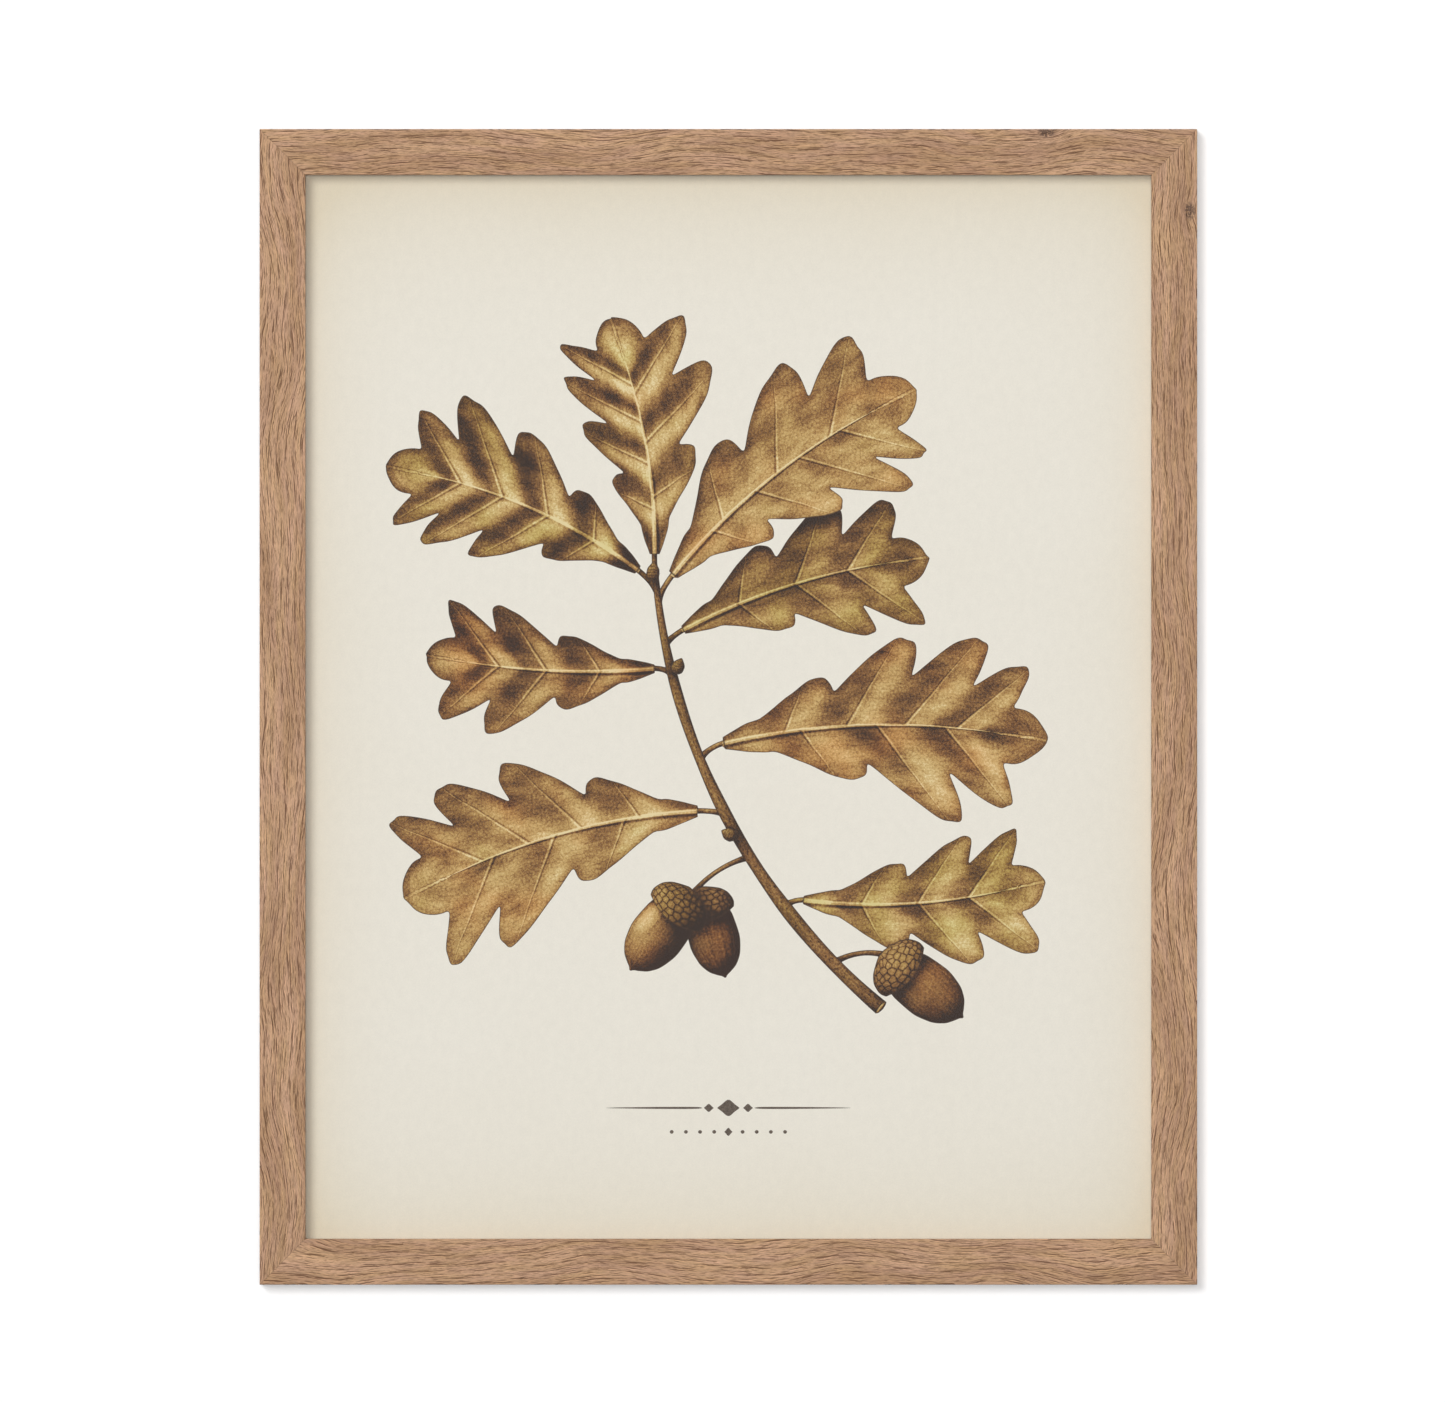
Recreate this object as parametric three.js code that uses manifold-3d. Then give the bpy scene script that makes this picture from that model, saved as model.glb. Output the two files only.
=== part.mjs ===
// A framed print: four mitred oak rails, glass, a paper print and a backing board that eight
// swivel clips hold in the rebate, with a sawtooth hanger and two wall pads behind.
// Millimetres. +X is to the right and +Z is up as the print is seen, and the front faces -Y.
// The origin is the hanger's middle notch, where the wall's nail carries the frame, in the
// plane of the wall.
import * as THREE from "three";
import { mergeVertices } from "three/addons/utils/BufferGeometryUtils.js";
import Module from "manifold-3d";

const wasm = await Module();
wasm.setup();

// Driving dimensions. Heights on the board are measured off its back face, towards the wall.
const SHEET_W = 400;
const SHEET_H = 500;
const LIP_COVER = 6; // how much of the sheet the lip hides on each side
const REBATE_PLAY = 1; // room round the sheet in the rebate
const FACE = 21; // width of a rail's front face
const DEPTH = 22; // front to back of a rail
const LIP = 5; // thickness of the lip in front of the glass
const EASE = 0.5; // flat that takes the sharpness off a rail's long edges
const MITRE_SETBACK = 0.03; // half of the glue line, along the rail
const GLASS_T = 2;
const PAPER_T = 0.3;
const BOARD_T = 3;
const AIR = 0.05; // what lies between the lip, the glass, the paper and the board
const PAD_T = 2.5; // the wall pads keep the rails this far off the wall
const PAD_R = 5;
const PAD_FROM_SIDE = 30; // from the frame's side to a pad's centre
const HANG_DROP = 11; // from the top edge down to the hanger's notches
const FIT = 0.05; // room round a nail or a rivet in its hole

// Swivel clips
const CLIP_INSET = 16; // from the rebate's wall to a clip's rivet
const CLIP_REACH = 19.5; // from the rivet to the tip
const CLIP_TAIL = 9.5; // from the rivet to the end of the finger lip
const CLIP_HALF_W = 6;
const CLIP_TIP_R = 4;
const CLIP_T = 0.7;
const CLIP_SEAT = 0.2; // the seat's height
const CLIP_RISE = 2.2; // from the seat up to the tip
const CLIP_RAMP = [6, 14]; // where the rise starts and ends
const CLIP_SHARES = [0.25, 0.75]; // where clips stand along a rail
const BEND_STEPS = 5; // straight pieces in each bend of a clip
const FINGER_LIP = 2; // how high the tail is bent up
const FINGER_LIP_FROM = 6;
const GROOVE_LOW = 0.6; // the groove's two sides
const GROOVE_HIGH = 3.4;
const GROOVE_DEPTH = 5;

const RIVET_R = 2;
const RIVET_PLAY = 0.2; // room round the shank in the clip's hole
const RIVET_FLANGE_R = 3.5;
const RIVET_FLANGE_T = 0.7;
const RIVET_SUNK = 0.05; // how deep the flange lies under the board's front face
const RIVET_HEAD_R = 3.6;
const RIVET_HEAD_H = 1.3;
const RIVET_HEAD_RIM = 0.3; // the upright edge under the dome
const DOME_SHARES = [0.35, 0.7]; // where the dome has its edges, from the rim to the top
const WELL_PLAY = 0.2; // room round the flange in its well
const WELL_DEPTH = 0.8;

// Sawtooth hanger
const HANGER_L = 60;
const HANGER_H = 8;
const HANGER_T = 0.8;
const HANGER_GAP = 1.6; // room for the wall nail's head behind the raised middle
const HANGER_MIDDLE = 17.5; // from its centre to the end of the raised middle
const HANGER_RAMP = 2.5;
const HANGER_EAR_R = 1.5;
const NOTCH_PITCH = 2.5;
const NOTCH_DEPTH = 1.2;
const NOTCHES = 13; // an odd number, so that one is in the middle
const NAIL_X = 24;
const NAIL_Z = 3;
const NAIL_R = 0.75;
const NAIL_L = 12;
const NAIL_HEAD_R = 2.2;
const NAIL_HEAD_H = 0.7;
const NAIL_POINT = 2;
const NAIL_CROWN_R = 0.7; // share of the head's radius where its crown starts
const NAIL_CROWN_H = 0.8; // share of the head's height at that radius

// Corner fasteners: a V of strip steel driven in from behind across each mitre
const V_LEG = 5;
const V_T = 0.6;
const V_DEPTH = 10;
const V_FROM_CORNER = 9; // from each outer edge to the V's point
const V_SUNK = 0.2;

const OVERRUN = 1; // how far a cutter runs past what it cuts
const NAIL_SIDES = 12; // flats round a nail, a rivet and a pad
const RIVET_SIDES = 16;
const PAD_SIDES = 24;

// Worked out from the above
const OUTER_W = SHEET_W - 2 * LIP_COVER + 2 * FACE;
const OUTER_H = SHEET_H - 2 * LIP_COVER + 2 * FACE;
const WALL = FACE - LIP_COVER - REBATE_PLAY; // thickness of the rail beside the rebate
const TOP = HANG_DROP;
const BOTTOM = TOP - OUTER_H;
const MIDDLE = (TOP + BOTTOM) / 2;
const BACK = -PAD_T;
const FRONT = BACK - DEPTH;
const LIP_BACK = FRONT + LIP;
const GLASS_FRONT = LIP_BACK + AIR;
const PAPER_FRONT = GLASS_FRONT + GLASS_T + AIR;
const BOARD_FRONT = PAPER_FRONT + PAPER_T + AIR;
const BOARD_BACK = BOARD_FRONT + BOARD_T;
const QUARTER = Math.PI / 2;

const wood = new THREE.MeshStandardMaterial({ color: 0xb08e72, roughness: 0.6, metalness: 0 });
const clear = new THREE.MeshStandardMaterial({
  color: 0xf4f8f6,
  roughness: 0.03,
  metalness: 0,
  transparent: true,
  opacity: 0.15,
});
const paper = new THREE.MeshStandardMaterial({ color: 0xe6e0d0, roughness: 0.9, metalness: 0 });
const board = new THREE.MeshStandardMaterial({ color: 0x8a6a4c, roughness: 0.8, metalness: 0 });
const steel = new THREE.MeshStandardMaterial({ color: 0xb9bcbf, roughness: 0.35, metalness: 1 });
const brassed = new THREE.MeshStandardMaterial({ color: 0xc2a25a, roughness: 0.35, metalness: 1 });
const felt = new THREE.MeshStandardMaterial({ color: 0x3a3836, roughness: 0.95, metalness: 0 });

// The four sides, clockwise from the left as seen from the front. In a side's own frame the
// rail runs along +Z from its outer corner, and +X points into the picture.
const SIDES = [
  { name: "left", corner: "bottom_left", turn: 0, x: -OUTER_W / 2, z: BOTTOM, length: OUTER_H },
  { name: "top", corner: "top_left", turn: QUARTER, x: -OUTER_W / 2, z: TOP, length: OUTER_W },
  { name: "right", corner: "top_right", turn: 2 * QUARTER, x: OUTER_W / 2, z: TOP, length: OUTER_H },
  { name: "bottom", corner: "bottom_right", turn: -QUARTER, x: OUTER_W / 2, z: BOTTOM, length: OUTER_W },
];

// A geometry as a solid that can be joined and cut.
function solid(geometry) {
  const bare = geometry.index ? geometry.toNonIndexed() : geometry.clone();
  bare.deleteAttribute("normal");
  bare.deleteAttribute("uv");
  const merged = mergeVertices(bare, 1e-4);
  const mesh = new wasm.Mesh({
    numProp: 3,
    vertProperties: merged.attributes.position.array,
    triVerts: new Uint32Array(merged.index.array),
  });
  return new wasm.Manifold(mesh);
}

// A solid back as a geometry.
function geometryOf(made) {
  const mesh = made.getMesh();
  const geometry = new THREE.BufferGeometry();
  geometry.setAttribute("position", new THREE.BufferAttribute(mesh.vertProperties, 3));
  geometry.setIndex(new THREE.BufferAttribute(mesh.triVerts, 1));
  geometry.computeVertexNormals();
  return geometry;
}

function named(name, geometry, material) {
  const mesh = new THREE.Mesh(geometry, material);
  mesh.name = name;
  return mesh;
}

// A shape drawn in X and Z as a plate that runs forwards from y = 0 to y = -thickness.
function plate(shape, thickness) {
  const geometry = new THREE.ExtrudeGeometry(shape, { depth: thickness, bevelEnabled: false });
  return geometry.rotateX(QUARTER);
}

// A shape drawn in X and Y, run along Z with its middle at z = 0.
function bar(shape, length) {
  const geometry = new THREE.ExtrudeGeometry(shape, { depth: length, bevelEnabled: false });
  return geometry.translate(0, 0, -length / 2);
}

// A round piece along Y from its profile of radius and height.
function turned(profile, sides) {
  return new THREE.LatheGeometry(profile.map(([r, y]) => new THREE.Vector2(r, y)), sides);
}

// A round cutter along Y.
function pin(radius, low, high, sides) {
  return turned([[0, low], [radius, low], [radius, high], [0, high]], sides);
}

function outline(points) {
  return new THREE.Shape(points.map(([x, y]) => new THREE.Vector2(x, y)));
}

// The V of a corner fastener in a side's frame, its legs pointing at the two outer edges.
function cornerV(grow, depth) {
  const far = V_FROM_CORNER + V_T / 2 + grow;
  const near = V_FROM_CORNER - V_T / 2 - grow;
  const end = V_FROM_CORNER - V_LEG - grow;
  const shape = outline([[far, far], [end, far], [end, near], [near, near], [near, end], [far, end]]);
  return plate(shape, depth).translate(0, BACK, 0);
}

// One rail in its side's frame: the section is drawn in X and Y, and its ends are cut to the
// mitre by moving each end point along the rail by its distance from the outer edge.
function rail(length, holes) {
  const grooveFront = BOARD_BACK + GROOVE_LOW;
  const grooveBack = BOARD_BACK + GROOVE_HIGH;
  const section = outline([
    [EASE, FRONT],
    [FACE - EASE, FRONT],
    [FACE, FRONT + EASE],
    [FACE, LIP_BACK],
    [WALL, LIP_BACK],
    [WALL, grooveFront],
    [WALL - GROOVE_DEPTH, grooveFront],
    [WALL - GROOVE_DEPTH, grooveBack],
    [WALL, grooveBack],
    [WALL, BACK],
    [EASE, BACK],
    [0, BACK - EASE],
    [0, FRONT + EASE],
  ]);
  const geometry = new THREE.ExtrudeGeometry(section, { depth: length, bevelEnabled: false });
  const at = geometry.attributes.position;
  for (let i = 0; i < at.count; i++) {
    const cut = at.getX(i) + MITRE_SETBACK;
    at.setZ(i, at.getZ(i) < length / 2 ? cut : length - cut);
  }
  const slot = cornerV(FIT, V_DEPTH + V_SUNK + FIT);
  const nextSlot = slot.clone().rotateY(QUARTER).translate(0, 0, length);
  const made = [slot, nextSlot, ...holes].reduce((left, hole) => left.subtract(solid(hole)), solid(geometry));
  return geometryOf(made);
}

// The hanger: the notched strip seen from behind, where it meets the same strip seen from
// above, whose middle stands off the rail.
function hangerStrip() {
  const half = HANGER_L / 2;
  const low = -NOTCH_DEPTH;
  const high = low + HANGER_H;
  const round = HANGER_EAR_R;
  const notched = (NOTCHES * NOTCH_PITCH) / 2;
  const face = new THREE.Shape();
  face.moveTo(-notched, low);
  for (let i = 0; i < NOTCHES; i++) {
    const left = -notched + i * NOTCH_PITCH;
    face.lineTo(left + NOTCH_PITCH / 2, 0);
    face.lineTo(left + NOTCH_PITCH, low);
  }
  face.absarc(half - round, low + round, round, -QUARTER, 0);
  face.absarc(half - round, high - round, round, 0, QUARTER);
  face.absarc(-half + round, high - round, round, QUARTER, 2 * QUARTER);
  face.absarc(-half + round, low + round, round, 2 * QUARTER, 3 * QUARTER);
  for (const x of [-NAIL_X, NAIL_X]) {
    face.holes.push(new THREE.Path().absarc(x, NAIL_Z, NAIL_R + RIVET_PLAY, 0, 4 * QUARTER, true));
  }
  const raised = BACK + HANGER_GAP;
  const inner = [
    [-half - OVERRUN, BACK],
    [-HANGER_MIDDLE - HANGER_RAMP, BACK],
    [-HANGER_MIDDLE, raised],
    [HANGER_MIDDLE, raised],
    [HANGER_MIDDLE + HANGER_RAMP, BACK],
    [half + OVERRUN, BACK],
  ];
  const outer = inner.map(([x, y]) => [x, y + HANGER_T]).reverse();
  const strip = solid(bar(outline([...inner, ...outer]), 3 * HANGER_H));
  const cutter = plate(face, 2 * PAD_T).translate(0, PAD_T, 0);
  return geometryOf(strip.intersect(solid(cutter)));
}

// One of the hanger's nails, from its point to its head, with the rail's back face at y = 0.
function hangerNail() {
  const profile = [
    [0, -NAIL_L],
    [NAIL_R, -NAIL_L + NAIL_POINT],
    [NAIL_R, HANGER_T],
    [NAIL_HEAD_R, HANGER_T],
    [NAIL_HEAD_R * NAIL_CROWN_R, HANGER_T + NAIL_HEAD_H * NAIL_CROWN_H],
    [0, HANGER_T + NAIL_HEAD_H],
  ];
  return turned(profile, NAIL_SIDES);
}

// How high a clip's underside stands over the board, x from its rivet towards the tip.
function clipHeight(x) {
  const ramp = THREE.MathUtils.smoothstep(x, CLIP_RAMP[0], CLIP_RAMP[1]);
  const lip = Math.max(0, -x - FINGER_LIP_FROM) / (CLIP_TAIL - FINGER_LIP_FROM);
  return CLIP_SEAT + CLIP_RISE * ramp + FINGER_LIP * lip * lip;
}

// A swivel clip lying along +X from its rivet, with the board's back face at y = 0: the bent
// strip seen from the side, where it meets its outline seen from behind.
function springClip() {
  const steps = Array.from({ length: BEND_STEPS + 1 }, (_, i) => i / BEND_STEPS);
  const tail = steps.map((t) => THREE.MathUtils.lerp(-CLIP_TAIL - OVERRUN, -FINGER_LIP_FROM, t));
  const ramp = steps.map((t) => THREE.MathUtils.lerp(CLIP_RAMP[0], CLIP_RAMP[1], t));
  const under = [...tail, ...ramp, CLIP_REACH + OVERRUN].map((x) => [x, clipHeight(x)]);
  const over = under.map(([x, y]) => [x, y + CLIP_T]).reverse();
  const strip = solid(bar(outline([...under, ...over]), 3 * CLIP_HALF_W));

  const tipX = CLIP_REACH - CLIP_TIP_R;
  const tailX = CLIP_HALF_W - CLIP_TAIL;
  const face = new THREE.Shape();
  face.absarc(tailX, 0, CLIP_HALF_W, QUARTER, 3 * QUARTER);
  face.lineTo(CLIP_RAMP[0], -CLIP_HALF_W);
  face.absarc(tipX, 0, CLIP_TIP_R, -QUARTER, QUARTER);
  face.lineTo(CLIP_RAMP[0], CLIP_HALF_W);
  face.holes.push(new THREE.Path().absarc(0, 0, RIVET_R + RIVET_PLAY, 0, 4 * QUARTER, true));
  const cutter = plate(face, 2 * CLIP_TAIL).translate(0, CLIP_TAIL, 0);
  return geometryOf(strip.intersect(solid(cutter)));
}

// The rivet that a clip turns on, with the board's back face at y = 0: a flat flange sunk in
// the board's front, a shank and a low dome over the clip.
function rivet() {
  const flange = -BOARD_T + RIVET_SUNK;
  const under = 2 * CLIP_SEAT + CLIP_T;
  const rim = under + RIVET_HEAD_RIM;
  const dome = DOME_SHARES.map((t) => [
    RIVET_HEAD_R * Math.cos(t * QUARTER),
    rim + (RIVET_HEAD_H - RIVET_HEAD_RIM) * Math.sin(t * QUARTER),
  ]);
  const profile = [
    [0, flange],
    [RIVET_FLANGE_R, flange],
    [RIVET_FLANGE_R, flange + RIVET_FLANGE_T],
    [RIVET_R, flange + RIVET_FLANGE_T],
    [RIVET_R, under],
    [RIVET_HEAD_R, under],
    [RIVET_HEAD_R, rim],
    ...dome,
    [0, rim + RIVET_HEAD_H - RIVET_HEAD_RIM],
  ];
  return turned(profile, RIVET_SIDES);
}

// The backing board, with a hole and a well for each rivet.
function backingBoard(places) {
  const middle = (BOARD_FRONT + BOARD_BACK) / 2;
  const sheet = new THREE.BoxGeometry(SHEET_W, BOARD_T, SHEET_H).translate(0, middle, MIDDLE);
  const low = -BOARD_T - OVERRUN;
  const hole = pin(RIVET_R + FIT, low, OVERRUN, RIVET_SIDES);
  const well = pin(RIVET_FLANGE_R + WELL_PLAY, low, WELL_DEPTH - BOARD_T, RIVET_SIDES);
  const cutters = places.flatMap(({ at }) => [hole, well].map((g) => g.clone().translate(at.x, at.y, at.z)));
  const made = cutters.reduce((left, cutter) => left.subtract(solid(cutter)), solid(sheet));
  return geometryOf(made);
}

// A round pad with an eased rim, from the rail's back to the wall at y = 0.
function wallPad() {
  return turned([[0, BACK], [PAD_R, BACK], [PAD_R, -EASE], [PAD_R - EASE, 0], [0, 0]], PAD_SIDES);
}

// A flat sheet of the print's size from one depth to another.
function sheet(front, thickness) {
  return new THREE.BoxGeometry(SHEET_W, thickness, SHEET_H).translate(0, front + thickness / 2, MIDDLE);
}

// Where each clip's rivet stands on the board, and which way its tip points.
const upright = new THREE.Vector3(0, 1, 0);
const clipPlaces = SIDES.flatMap((side) =>
  CLIP_SHARES.map((share, i) => {
    const at = new THREE.Vector3(WALL + CLIP_INSET, BOARD_BACK, share * side.length);
    at.applyAxisAngle(upright, side.turn).add(new THREE.Vector3(side.x, 0, side.z));
    return { name: `${side.name}_${i + 1}`, at, turn: side.turn + 2 * QUARTER };
  }),
);

const group = new THREE.Group();

for (const side of SIDES) {
  const corner = new THREE.Group();
  corner.position.set(side.x, 0, side.z);
  corner.rotation.y = side.turn;
  const nailHoles = [-NAIL_X, NAIL_X].map((x) =>
    pin(NAIL_R + FIT, BACK - NAIL_L - FIT, BACK + OVERRUN, NAIL_SIDES).translate(
      TOP - NAIL_Z,
      0,
      side.length / 2 + x,
    ),
  );
  const holes = side.name === "top" ? nailHoles : [];
  corner.add(named(`rail_${side.name}`, rail(side.length, holes), wood));
  corner.add(named(`corner_nail_${side.corner}`, cornerV(0, V_DEPTH).translate(0, -V_SUNK, 0), steel));
  group.add(corner);
}

group.add(named("glazing", sheet(GLASS_FRONT, GLASS_T), clear));
group.add(named("print", sheet(PAPER_FRONT, PAPER_T), paper));
group.add(named("backing_board", backingBoard(clipPlaces), board));

for (const place of clipPlaces) {
  const seat = new THREE.Group();
  seat.position.copy(place.at);
  seat.rotation.y = place.turn;
  seat.add(named(`clip_${place.name}`, springClip(), steel));
  seat.add(named(`rivet_${place.name}`, rivet(), steel));
  group.add(seat);
}

group.add(named("hanger", hangerStrip(), brassed));
for (const [side, sign] of [["left", -1], ["right", 1]]) {
  const nail = named(`hanger_nail_${side}`, hangerNail(), brassed);
  nail.position.set(sign * NAIL_X, BACK, NAIL_Z);
  group.add(nail);
  const pad = named(`wall_pad_${side}`, wallPad(), felt);
  pad.position.set(sign * (OUTER_W / 2 - PAD_FROM_SIDE), 0, BOTTOM + WALL / 2);
  group.add(pad);
}

export default group;
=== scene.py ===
"""Looks of a framed print: four oak rails, a botanical print under glass and the hardware behind.

Metres, in the CAD's frame: +X to the right and +Z up as the print is seen, with the front
facing -Y and the wall at y = 0. Sizes whose names end in _MM, the print's drawing and every
coordinate inside a material are in millimetres.
"""
import math

import bmesh
import bpy
import numpy as np
from mathutils import Matrix, Vector, kdtree, noise
from mathutils.bvhtree import BVHTree
from mathutils.geometry import delaunay_2d_cdt

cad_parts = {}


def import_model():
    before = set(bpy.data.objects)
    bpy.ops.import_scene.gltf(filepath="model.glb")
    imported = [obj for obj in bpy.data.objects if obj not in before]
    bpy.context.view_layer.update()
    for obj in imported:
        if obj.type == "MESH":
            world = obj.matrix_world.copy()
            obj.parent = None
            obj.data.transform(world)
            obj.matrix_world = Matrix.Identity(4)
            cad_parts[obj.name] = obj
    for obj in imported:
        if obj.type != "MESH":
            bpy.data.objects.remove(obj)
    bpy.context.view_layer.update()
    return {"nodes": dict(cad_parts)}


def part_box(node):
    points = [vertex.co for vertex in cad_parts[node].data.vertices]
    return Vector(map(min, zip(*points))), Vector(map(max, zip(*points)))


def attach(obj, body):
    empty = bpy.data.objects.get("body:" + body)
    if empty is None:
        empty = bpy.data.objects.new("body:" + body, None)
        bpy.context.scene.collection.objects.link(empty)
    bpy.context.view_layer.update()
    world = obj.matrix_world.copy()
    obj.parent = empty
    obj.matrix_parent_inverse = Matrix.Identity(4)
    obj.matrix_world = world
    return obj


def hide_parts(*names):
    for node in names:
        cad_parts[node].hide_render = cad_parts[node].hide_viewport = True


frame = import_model()

MM = 0.001
QUARTER = math.pi / 2


# ---------------------------------------------------------------- node trees


class Socket:
    """A node's output that plain arithmetic can be written on."""

    def __init__(self, nodes, socket):
        self.nodes = nodes
        self.socket = socket

    def clamp(self):
        return self.nodes.math("ADD", self, 0.0, use_clamp=True)

    def ease(self, low, high):
        """0 up to low, 1 from high on, and smooth in between; low may be the larger one."""
        inputs = {0: self, 1: low, 2: high, 3: 0.0, 4: 1.0}
        return self.nodes.add("ShaderNodeMapRange", inputs, interpolation_type="SMOOTHSTEP")


OPERATIONS = {
    "__add__": "ADD",
    "__sub__": "SUBTRACT",
    "__mul__": "MULTIPLY",
    "__truediv__": "DIVIDE",
    "__pow__": "POWER",
    "__abs__": "ABSOLUTE",
    "fract": "FRACT",
    "root": "SQRT",
    "sin": "SINE",
    "most": "MAXIMUM",
}
TURNED_OPERATIONS = {"__radd__": "ADD", "__rsub__": "SUBTRACT", "__rmul__": "MULTIPLY"}


def math_method(operation, turned=False):
    """A Socket method that adds a Math node, with its two values changed round if turned."""

    def method(self, *others):
        values = (*others, self) if turned else (self, *others)
        return self.nodes.math(operation, *values)

    return method


for name, operation in OPERATIONS.items():
    setattr(Socket, name, math_method(operation))
for name, operation in TURNED_OPERATIONS.items():
    setattr(Socket, name, math_method(operation, turned=True))


class Nodes:
    """One material's or world's node tree, built by short calls."""

    def __init__(self, tree):
        self.tree = tree
        tree.nodes.clear()

    def add(self, kind, inputs=(), out=0, **settings):
        node = self.tree.nodes.new(kind)
        for name, value in settings.items():
            setattr(node, name, value)
        for key, value in dict(inputs).items():
            if isinstance(value, Socket):
                self.tree.links.new(value.socket, node.inputs[key])
            else:
                node.inputs[key].default_value = value
        return Socket(self, node.outputs[out])

    def math(self, operation, *values, **settings):
        return self.add("ShaderNodeMath", dict(enumerate(values)), operation=operation, **settings)

    def mix(self, share, a, b, blend="MIX"):
        inputs = {0: share, 6: a, 7: b}
        return self.add("ShaderNodeMix", inputs, out=2, data_type="RGBA", blend_type=blend)

    def vector(self, x, y, z=0.0):
        return self.add("ShaderNodeCombineXYZ", {0: x, 1: y, 2: z})

    def parts(self, vector):
        node = self.add("ShaderNodeSeparateXYZ", {0: vector}).socket.node
        return [Socket(self, output) for output in node.outputs]

    def attribute(self, name):
        return self.parts(self.add("ShaderNodeAttribute", out=1, attribute_name=name))

    def place(self):
        """The point's place in its piece's own frame, as three sockets in millimetres."""
        at = self.add("ShaderNodeTexCoord", out=3)
        scaled = self.add("ShaderNodeVectorMath", {0: at, 3: 1 / MM}, operation="SCALE")
        return self.parts(scaled)

    def noise(self, x, y, z=None, detail=2.0, roughness=0.5):
        """Soft noise about 0, from -0.5 to 0.5, whose features are about one unit wide."""
        dimensions = "2D" if z is None else "3D"
        inputs = {"Vector": self.vector(x, y, z or 0.0), "Detail": detail, "Roughness": roughness}
        return self.add("ShaderNodeTexNoise", {"Scale": 1.0, **inputs}, noise_dimensions=dimensions) - 0.5

    def cells(self, x, y, feature="F1", randomness=1.0):
        """Flat Voronoi cells: the distance to the nearest cell's point or edge, and the node."""
        inputs = {"Vector": self.vector(x, y), "Scale": 1.0, "Randomness": randomness}
        settings = {"feature": feature, "voronoi_dimensions": "2D"}
        node = self.add("ShaderNodeTexVoronoi", inputs, **settings).socket.node
        return Socket(self, node.outputs["Distance"]), node

    def cell_points(self, x, y):
        """The distance to a cell's point, a random share for the cell, and the point's x and y."""
        distance, node = self.cells(x, y)
        chance = self.parts(Socket(self, node.outputs["Color"]))[0]
        return distance, chance, *self.parts(Socket(self, node.outputs["Position"]))[:2]

    def ramp(self, share, stops):
        """A colour from a list of (place, colour) stops."""
        made = self.add("ShaderNodeValToRGB", {0: share})
        elements = made.socket.node.color_ramp.elements
        while len(elements) < len(stops):
            elements.new(0.5)
        for element, (place, shade) in zip(elements, stops):
            element.position = place
            element.color = shade
        return made

    def scaled(self, shade, factor):
        """A colour made lighter or darker by a factor."""
        return self.times(shade, self.add("ShaderNodeCombineColor", {0: factor, 1: factor, 2: factor}))

    def times(self, shade, other):
        """One colour times another."""
        return self.mix(1.0, shade, other, "MULTIPLY")

    def bump(self, height, distance_mm):
        return self.add("ShaderNodeBump", {"Height": height, "Distance": distance_mm * MM, "Strength": 1.0})

    def surface(self, **inputs):
        """The Principled shader as the tree's surface; names have _ for a space."""
        named = {name.replace("_", " "): value for name, value in inputs.items()}
        self.finish(self.add("ShaderNodeBsdfPrincipled", named))

    def finish(self, shader, kind="ShaderNodeOutputMaterial"):
        node = self.tree.nodes.new(kind)
        self.tree.links.new(shader.socket, node.inputs["Surface"])


def new_material(write):
    """A material whose node tree a function writes, and that has the function's name."""
    material = bpy.data.materials.new(write.__name__)
    material.use_nodes = True
    write(Nodes(material.node_tree))
    return material


def linear(value):
    share = value / 255
    return share / 12.92 if share <= 0.04045 else ((share + 0.055) / 1.055) ** 2.4


def rgb(red, green, blue, gain=1.0):
    """A colour given as it looks on a screen, from 0 to 255, times a gain."""
    return (*(min(1.0, linear(value) * gain) for value in (red, green, blue)), 1.0)


# ---------------------------------------------------------------- the frame's sizes

rail_boxes = [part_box(f"rail_{side}") for side in ("left", "right", "top", "bottom")]
rails_low = Vector(min(low[i] for low, _ in rail_boxes) for i in range(3))
rails_high = Vector(max(high[i] for _, high in rail_boxes) for i in range(3))
board_low, board_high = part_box("backing_board")
glass_low, glass_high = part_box("glazing")
print_low, print_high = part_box("print")

AIR_MM = 0.05  # between the lip's back and the glass
REBATE_PLAY_MM = 1.0  # between the board's edge and the rebate's wall
FACE_MM = (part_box("rail_left")[1].x - rails_low.x) / MM
FRONT_MM = rails_low.y / MM
BACK_MM = rails_high.y / MM
LIP_BACK_MM = glass_low.y / MM - AIR_MM
WALL_MM = (board_low.x - rails_low.x) / MM - REBATE_PLAY_MM
BOARD_BACK_MM = board_high.y / MM
GROOVE_LOW_MM = 0.6  # from the board's back to the near side of the clips' groove
GROOVE_HIGH_MM = 3.4  # and to its far side
GROOVE_DEPTH_MM = 5.0
MITRE_SETBACK_MM = 0.03  # how far each rail stops short of the mitre
SHARP_DEGREES = 35  # edges that bend more than this are shaded sharp
SHEET_CENTRE = (print_low + print_high) / 2

# The four sides, clockwise from the left: name, quarter turns, the outer corner where the rail
# starts, and its length in millimetres.
WIDE_MM = (rails_high.x - rails_low.x) / MM
TALL_MM = (rails_high.z - rails_low.z) / MM
SIDES = [
    ("left", 0, (rails_low.x, rails_low.z), TALL_MM),
    ("top", 1, (rails_low.x, rails_high.z), WIDE_MM),
    ("right", 2, (rails_high.x, rails_high.z), TALL_MM),
    ("bottom", -1, (rails_high.x, rails_low.z), WIDE_MM),
]


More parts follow.
